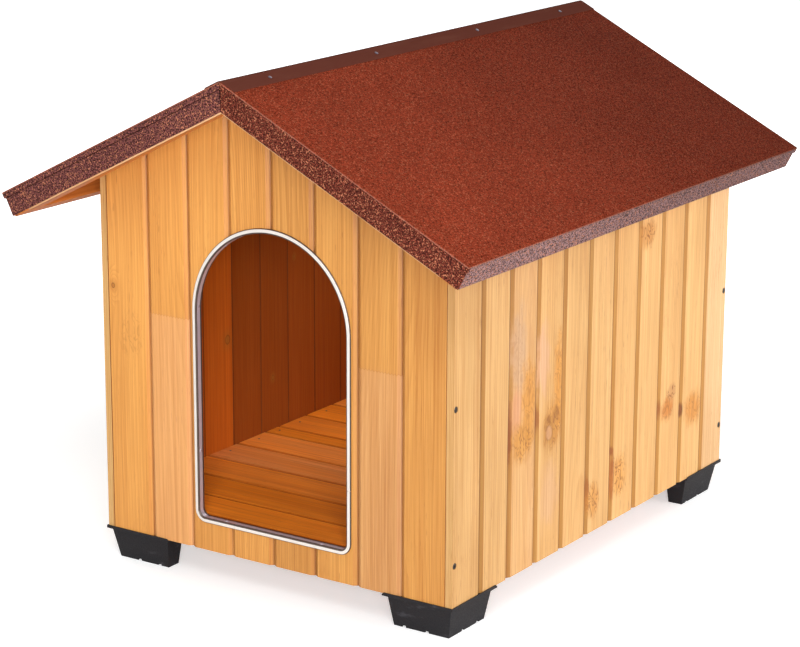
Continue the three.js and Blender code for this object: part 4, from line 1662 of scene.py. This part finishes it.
@dataclass
class CabinFloor:
    """The floor boards on their two bearers, with their brads.

    Attributes:
        joinery: Makes the eased pieces.
        fasteners: Makes the brads.
        seams: Places along the house where one board ends and the next begins.
        top: Height of the floor.
        ease: Rounding of the boards' edges.
        ends: Places along the house where the first board begins and the last one ends.
        brad_lines: Places across the house of the rows of brads, over the bearers.
        brad_radius: Radius of a brad's head.
        brad_rise: Height of a brad's head.
    """

    joinery: Joinery
    fasteners: Fasteners
    seams: tuple[float, ...] = tuple(y * MM for y in (-220, -164, -108, -52, 4, 31, 87, 143, 199, 255))
    top: float = 75.7 * MM
    ease: float = 0.5 * MM
    ends: tuple[float, float] = (-267.0 * MM, 311.0 * MM)
    brad_lines: tuple[float, ...] = (-209.0 * MM, 209.0 * MM)
    brad_radius: float = 1.2 * MM
    brad_rise: float = 0.4 * MM

    def build(self) -> None:
        """Makes and dresses the floor and its brads."""
        pine = Pine(
            name="pine_floor",
            origin=(0.0, 0.0, self.top),
            lay=Lay.FLOOR,
            seed=55.0,
            early="#F78E28",
            late="#C86216",
            deep="#8E400C",
            seams=self.seams,
            # the boards further back are brighter: painted light on the far floor
            tones=(1.0, 0.88, 0.9, 1.0, 1.06, 0.9, 1.1, 1.12, 1.1, 1.1, 1.1),
            blush=(0.0, 0.0, 0.1, 0.3, 0.2, 0.0, 0.05, 0.0, 0.1, 0.0, 0.0),
            groove=0.6,
            groove_floor=1.5 * MM,
            contrast=0.4,
            grit=1.4,
            shine=0.3,
        )
        wear(self.joinery.eased("floor_panel", self.ease), pine.build())
        steel = BareMetal("brad_steel", "#6E645C", (0.35, 0.5)).build()
        edges = (self.ends[0], *self.seams, self.ends[1])
        middles = [(a + b) / 2 for a, b in zip(edges, edges[1:])]
        height = self.top + self.brad_rise / 4
        places = [((line, y, height), (0.0, 0.0, 1.0)) for line in self.brad_lines for y in middles]
        pattern = self.fasteners.nail(self.brad_radius, self.brad_rise)
        self.fasteners.drive(pattern, "floor_brad", places, steel, "house", "zinc_steel")


@dataclass
class Doorway:
    """The bright edging bent round the doorway and the pins that hold it.

    Attributes:
        joinery: Makes the eased edging.
        fasteners: Makes the pins.
        ease: Rounding of the edging's edges.
        opening: Half of the clear width between the jambs.
        sill: Height of the sill's upper face.
        spring: Height at which the arch begins.
        pin_line: Place of the pins along Y.
        sill_pins: Places across the doorway of the sill's pins.
        jamb_pins: Heights of the jambs' pins.
        arch_pins: Angle over the spring line of the arch's two pins, in degrees.
        pin_radius: Radius of a pin's head.
        pin_rise: Height of a pin's head.
    """

    joinery: Joinery
    fasteners: Fasteners
    ease: float = 0.22 * MM
    opening: float = 97.6 * MM
    sill: float = 74.3 * MM
    spring: float = 305.0 * MM
    pin_line: float = -275.9 * MM
    sill_pins: tuple[float, float] = (-64.0 * MM, 63.0 * MM)
    jamb_pins: tuple[float, float] = (148.7 * MM, 310.0 * MM)
    arch_pins: float = 52.0
    pin_radius: float = 1.7 * MM
    pin_rise: float = 0.7 * MM

    def build(self) -> None:
        """Makes and dresses the edging and its pins."""
        wear(self.joinery.eased("door_edging", self.ease, angle=28.0), AnodisedEdging().build())
        reach = self.opening
        bend = math.radians(self.arch_pins)
        places = [((x, self.pin_line, self.sill), (0.0, 0.0, 1.0)) for x in self.sill_pins]
        for side in (-1, 1):
            places += [((side * reach, self.pin_line, z), (-side, 0.0, 0.0)) for z in self.jamb_pins]
            x, z = side * reach * math.cos(bend), self.spring + reach * math.sin(bend)
            places.append(((x, self.pin_line, z), (-side * math.cos(bend), 0.0, -math.sin(bend))))
        steel = BareMetal("pin_steel", "#D8D2DA", (0.4, 0.55)).build()
        pattern = self.fasteners.nail(self.pin_radius, self.pin_rise)
        self.fasteners.drive(pattern, "edging_pin", places, steel, "house", "edging_aluminium")


@dataclass
class Feet:
    """The four moulded feet.

    Attributes:
        joinery: Makes the eased feet.
        ease: Rounding of the moulded edges.
    """

    joinery: Joinery
    ease: float = 0.5 * MM

    def build(self) -> None:
        """Makes and dresses the feet."""
        plastic = MouldedPlastic().build()
        for node in (n for n in self.joinery.nodes if n.startswith("foot_")):
            wear(self.joinery.eased(node, self.ease, angle=30.0), plastic)


@dataclass
class Roof:
    """Decks, edge battens, felt, ridge cap and the rafter of the stay.

    Attributes:
        joinery: Makes the eased pieces.
        fasteners: Makes the nails.
        felt_ease: Rounding of the felt's folds.
        deck_ease: Rounding of the decks.
        timber_ease: Rounding of the battens.
        cap_ease: Rounding of the cap's edges.
        cap_nails: Places along the ridge of the cap's nails.
        cap_nail_reach: Distance of the nails from the ridge.
        cap_nail_radius: Radius of a nail's head.
        cap_nail_rise: Height of a nail's head.
        cap_lift: Height of the cap's top over the roof edge's lower line, square to the slope.
        batten_face: Place along Y of the gable battens' outer face.
        batten_run: Distance down the slope of the eave battens' outer face.
    """

    joinery: Joinery
    fasteners: Fasteners
    felt_ease: float = 0.8 * MM
    deck_ease: float = 0.4 * MM
    timber_ease: float = 0.5 * MM
    cap_ease: float = 0.25 * MM
    cap_nails: tuple[float, ...] = (-290.5 * MM, -98.8 * MM, 105.1 * MM, 291.3 * MM)
    cap_nail_reach: float = 11.0 * MM
    cap_nail_radius: float = 2.0 * MM
    cap_nail_rise: float = 0.9 * MM
    cap_lift: float = 30.4 * MM
    batten_face: float = 357.9 * MM
    batten_run: float = 314.5 * MM

    def build(self) -> None:
        """Makes and dresses the two slopes, the ridge cap and the rafter."""
        for side in ("left", "right"):
            self._slope(side)
        self._cap()
        rafter = self.joinery.eased("stay_rafter", self.timber_ease)
        wear(rafter, self._timber("stay_rafter", Lay.SLOPE_LEFT, 84.0))

    @staticmethod
    def _timber(
        name: str, lay: Lay, seed: float, origin: Triple = (0.0, 0.0, 0.0)
    ) -> bpy.types.Material:
        """Makes batten wood whose outer sawn face is bare and pale, with painted shade on its other faces.

        Args:
            name: Name of the piece.
            lay: How it lies.
            seed: Number that sets its grain apart.
            origin: A point on its outer face.

        Returns:
            The material.
        """
        return Pine(
            name=f"pine_{name}",
            origin=origin,
            lay=lay,
            seed=seed,
            early="#E9B989",
            late="#CC9058",
            contrast=0.3,
            groove=0.0,
            # painted shade on all but the outer face
            painted_shade=0.9,
            shade_from=0.6 * MM,
            shade_colour="#CC7020",
        ).build()

    def _slope(self, side: str) -> None:
        """Makes one slope of the roof: its deck, battens and felt.

        Args:
            side: left or right.
        """
        sign = 1 if side == "right" else -1
        deck = Pine(
            name=f"pine_deck_{side}",
            origin=(0.0, 0.0, FELT_RIDGE),
            lay=Lay.DECK_RIGHT if sign > 0 else Lay.DECK_LEFT,
            seed=60.0 + 3 * sign,
            early="#D88A42",
            late="#B2641F",
            seams=tuple((-90 + 90 * k) * MM for k in range(5)),
            tones=(1.0, 0.95, 1.03, 0.97, 1.02, 0.96),
            groove=0.0,
            stain=0.2,
        )
        wear(self.joinery.eased(f"roof_deck_{side}", self.deck_ease), deck.build())
        eave = self.joinery.eased(f"eave_batten_{side}", self.timber_ease)
        foot = (sign * self.batten_run * RUN, 0.0, RIDGE_UNDERSIDE - self.batten_run * FALL)
        eave_lay = Lay.EAVE_RIGHT if sign > 0 else Lay.EAVE_LEFT
        wear(eave, self._timber(f"eave_{side}", eave_lay, 30.0 + sign, foot))
        for end in ("front", "rear"):
            node = f"verge_batten_{end}_{side}"
            face = -self.batten_face if end == "front" else self.batten_face
            lay = Lay[f"SLOPE_{side.upper()}" + ("_REAR" if end == "rear" else "")]
            seed = 33.0 + 4 * sign + (2 if end == "rear" else 0)
            timber = self._timber(node, lay, seed, (0.0, face, 0.0))
            wear(self.joinery.eased(node, self.timber_ease), timber)
        # the gable band's painted sheen is greyer on the left slope
        felt = MineralFelt(f"mineral_felt_{side}", "#60352E" if sign > 0 else "#6A4E50")
        wear(self.joinery.eased(f"roof_felt_{side}", self.felt_ease, segments=3), felt.build())

    def _cap(self) -> None:
        """Makes the ridge cap with its nails."""
        wear(self.joinery.eased("ridge_cap", self.cap_ease), CoatedSheet().build())
        reach = self.cap_nail_reach
        height = RIDGE_UNDERSIDE + self.cap_lift / RUN - reach * ROOF_RISE
        places = [
            ((side * reach, y, height), (side * FALL, 0.0, RUN)) for side in (-1, 1) for y in self.cap_nails
        ]
        steel = BareMetal("cap_nail_steel", "#6F6872", (0.35, 0.5)).build()
        pattern = self.fasteners.nail(self.cap_nail_radius, self.cap_nail_rise)
        self.fasteners.drive(pattern, "cap_nail", places, steel, "roof", "zinc_steel")


@dataclass
class Ironmongery:
    """The roof's side hinge with its screws, and the slotted stay with its stud.

    Attributes:
        joinery: Makes the eased pieces.
        fasteners: Makes the screws.
        ease: Rounding of the metal's edges.
        leaf_face: Place along X of the wall leaf's outer face.
        screw_height: Height of the wall leaf's screws.
        screw_rise: How far their heads stand out.
        screw_radius: Radius of a screw's head.
        screws: Places along Y of the screws.
    """

    joinery: Joinery
    fasteners: Fasteners
    ease: float = 0.25 * MM
    leaf_face: float = -230.8 * MM
    screw_height: float = 419.0 * MM
    screw_rise: float = 0.1 * MM
    screw_radius: float = 2.6 * MM
    screws: tuple[float, ...] = tuple((22 - 210 + 70 * k) * MM for k in range(7))

    def build(self) -> None:
        """Makes and dresses the hinge and the stay."""
        zinc = BareMetal("zinc_plate", "#B9B8B2", (0.3, 0.46), (700, 60, 700)).build()
        for node in ("hinge_leaf_wall", "hinge_leaf_roof"):
            wear(self.joinery.eased(node, self.ease, angle=30.0), zinc)
        bright = BareMetal("stay_steel", "#C3C2BD", (0.26, 0.42), (500, 500, 500)).build()
        for node in ("stay_arm", "stay_stud"):
            wear(self.joinery.eased(node, self.ease, angle=30.0), bright)
        outside = self.leaf_face - self.screw_rise
        places = [((outside, y, self.screw_height), (-1.0, 0.0, 0.0)) for y in self.screws]
        pattern = self.fasteners.screw(self.screw_radius)
        self.fasteners.drive(pattern, "hinge_screw", places, zinc, "house", "zinc_steel")


# ---- studio --------------------------------------------------------------------------


@dataclass(frozen=True)
class SoftBox:
    """A square lamp.

    Attributes:
        name: Its name.
        place: Where it hangs.
        size: Length of its sides.
        power: Its power in watts.
        target: What it faces.
        spread: How wide it shines, in degrees.
    """

    name: str
    place: Triple
    size: float
    power: float
    target: Triple = (0.0, 0.0, 0.3)
    spread: float = 180.0

    def hang(self) -> None:
        """Makes the lamp and turns it to its target."""
        data = bpy.data.lights.new(self.name, "AREA")
        data.size = self.size
        data.energy = self.power
        data.spread = math.radians(self.spread)
        lamp = bpy.data.objects.new(self.name, data)
        bpy.context.scene.collection.objects.link(lamp)
        lamp.location = self.place
        lamp.visible_camera = False
        aim = Vector(self.target) - Vector(self.place)
        lamp.rotation_euler = aim.to_track_quat("-Z", "Y").to_euler()


@dataclass
class Studio:
    """Camera, soft lamps, pale floor and white surroundings.

    Attributes:
        camera_place: Where the camera stands.
        heading: Its turn to the left of looking along +Y, in degrees.
        downward: How far it looks down, in degrees.
        roll: Its turn about its own axis, in degrees.
        lens: Focal length in millimetres, on a sensor of the width below.
        sensor: Width of the sensor in millimetres.
        dim: Strength with which the surroundings light the object.
        floor_size: Length of the floor's sides.
        floor_drop: How far the floor lies below the feet.
        floor_grey: Brightness of the floor.
        glow: What the floor adds for the camera, under the object and far from it.
        glow_reach: Distances from the middle between which that grows.
        lamps: The soft boxes.
    """

    camera_place: Triple = (1.5522, -2.3570, 1.0024)
    heading: float = 33.755
    downward: float = 15.021
    roll: float = 0.2298
    lens: float = 115.09
    sensor: float = 36.0
    dim: float = 0.2
    floor_size: float = 60.0
    floor_drop: float = 0.1 * MM
    floor_grey: float = 0.8
    glow: tuple[float, float] = (0.5, 1.0)
    glow_reach: tuple[float, float] = (0.5, 1.3)
    lamps: tuple[SoftBox, ...] = (
        SoftBox("key_right", (3.8, 0.7, 1.3), 2.2, 84.0),
        SoftBox("beside_camera", (1.95, -2.85, 0.95), 1.3, 88.0),
        SoftBox("fill_left", (-3.2, 0.3, 1.4), 2.4, 40.0),
        SoftBox("behind", (-0.8, 3.4, 1.5), 2.4, 30.0),
        SoftBox("above_front", (0.9, -1.5, 1.75), 0.9, 16.0),
        SoftBox("under_ridge", (-0.04, 0.14, 0.47), 0.2, 0.34, target=(-0.04, 0.14, 0.0), spread=110.0),
    )

    def build(self) -> None:
        """Sets the whole studio up."""
        self._camera()
        self._world()
        self._floor()
        for lamp in self.lamps:
            lamp.hang()

    def _camera(self) -> None:
        """Stands the camera where the photograph was taken from."""
        data = bpy.data.cameras.new("camera")
        data.lens = self.lens
        data.sensor_width = self.sensor
        data.clip_start, data.clip_end = 0.05, 100.0
        camera = bpy.data.objects.new("camera", data)
        bpy.context.scene.collection.objects.link(camera)
        yaw, pitch = math.radians(self.heading), math.radians(self.downward)
        level = math.cos(pitch)
        forward = Vector((-math.sin(yaw) * level, math.cos(yaw) * level, -math.sin(pitch)))
        roll = Quaternion((0, 0, 1), math.radians(self.roll))
        camera.location = self.camera_place
        camera.rotation_mode = "QUATERNION"
        camera.rotation_quaternion = forward.to_track_quat("-Z", "Y") @ roll
        bpy.context.scene.camera = camera

    def _world(self) -> None:
        """Shows white to the camera and to reflections, and lights evenly otherwise."""
        world = bpy.data.worlds.new("surroundings")
        bpy.context.scene.world = world
        world.use_nodes = True
        tree = world.node_tree
        tree.nodes.clear()
        path = tree.nodes.new("ShaderNodeLightPath")
        shown = path.outputs["Is Camera Ray"]
        for ray in ("Is Transmission Ray", "Is Glossy Ray"):
            either = tree.nodes.new("ShaderNodeMath")
            either.operation = "MAXIMUM"
            tree.links.new(shown, either.inputs[0])
            tree.links.new(path.outputs[ray], either.inputs[1])
            shown = either.outputs[0]
        strength = tree.nodes.new("ShaderNodeMapRange")
        tree.links.new(shown, strength.inputs["Value"])
        strength.inputs["To Min"].default_value = self.dim
        strength.inputs["To Max"].default_value = 1.0
        background = tree.nodes.new("ShaderNodeBackground")
        background.inputs["Color"].default_value = (1.0, 1.0, 1.0, 1.0)
        tree.links.new(strength.outputs[0], background.inputs["Strength"])
        output = tree.nodes.new("ShaderNodeOutputWorld")
        tree.links.new(background.outputs[0], output.inputs[0])

    def _floor(self) -> None:
        """Lays the pale floor, which shows white where no shadow falls on it."""
        bpy.ops.object.select_all(action="DESELECT")
        bpy.ops.mesh.primitive_plane_add(size=self.floor_size, location=(0.0, 0.0, -self.floor_drop))
        floor = bpy.context.object
        floor.name = "studio_floor"
        settle(floor)
        g = Graph("studio_floor")
        path = g.add("ShaderNodeLightPath")
        away = g.add("ShaderNodeVectorMath", operation="LENGTH")
        g.feed(away.inputs[0], g.place)
        glow = g.remap(away.outputs["Value"], *self.glow_reach, *self.glow)
        g.surface(
            Base_Color=(self.floor_grey, self.floor_grey, self.floor_grey, 1.0),
            Roughness=0.9,
            Specular_IOR_Level=0.0,
            Emission_Color=(1.0, 1.0, 1.0, 1.0),
            Emission_Strength=g.maths("MULTIPLY", path.outputs["Is Camera Ray"], glow),
        )
        wear(floor, g.material)


def main() -> None:
    """Loads the frame, dresses it and sets the studio."""
    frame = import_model()
    record = frame["record"]
    body_of = {node: body for body, nodes in record["behaviour"]["bodies"].items() for node in nodes}
    slot_of = {row["node"]: row["material_slot"] for row in record["subparts"]}
    joinery = Joinery(frame["nodes"], body_of, slot_of)
    fasteners = Fasteners()
    Studio().build()
    Walls(joinery, fasteners).build()
    CabinFloor(joinery, fasteners).build()
    Doorway(joinery, fasteners).build()
    Feet(joinery).build()
    Roof(joinery, fasteners).build()
    Ironmongery(joinery, fasteners).build()
    bpy.context.scene.view_settings.view_transform = "Standard"


if __name__ == "__main__":
    logging.basicConfig(level=logging.INFO)
    main()
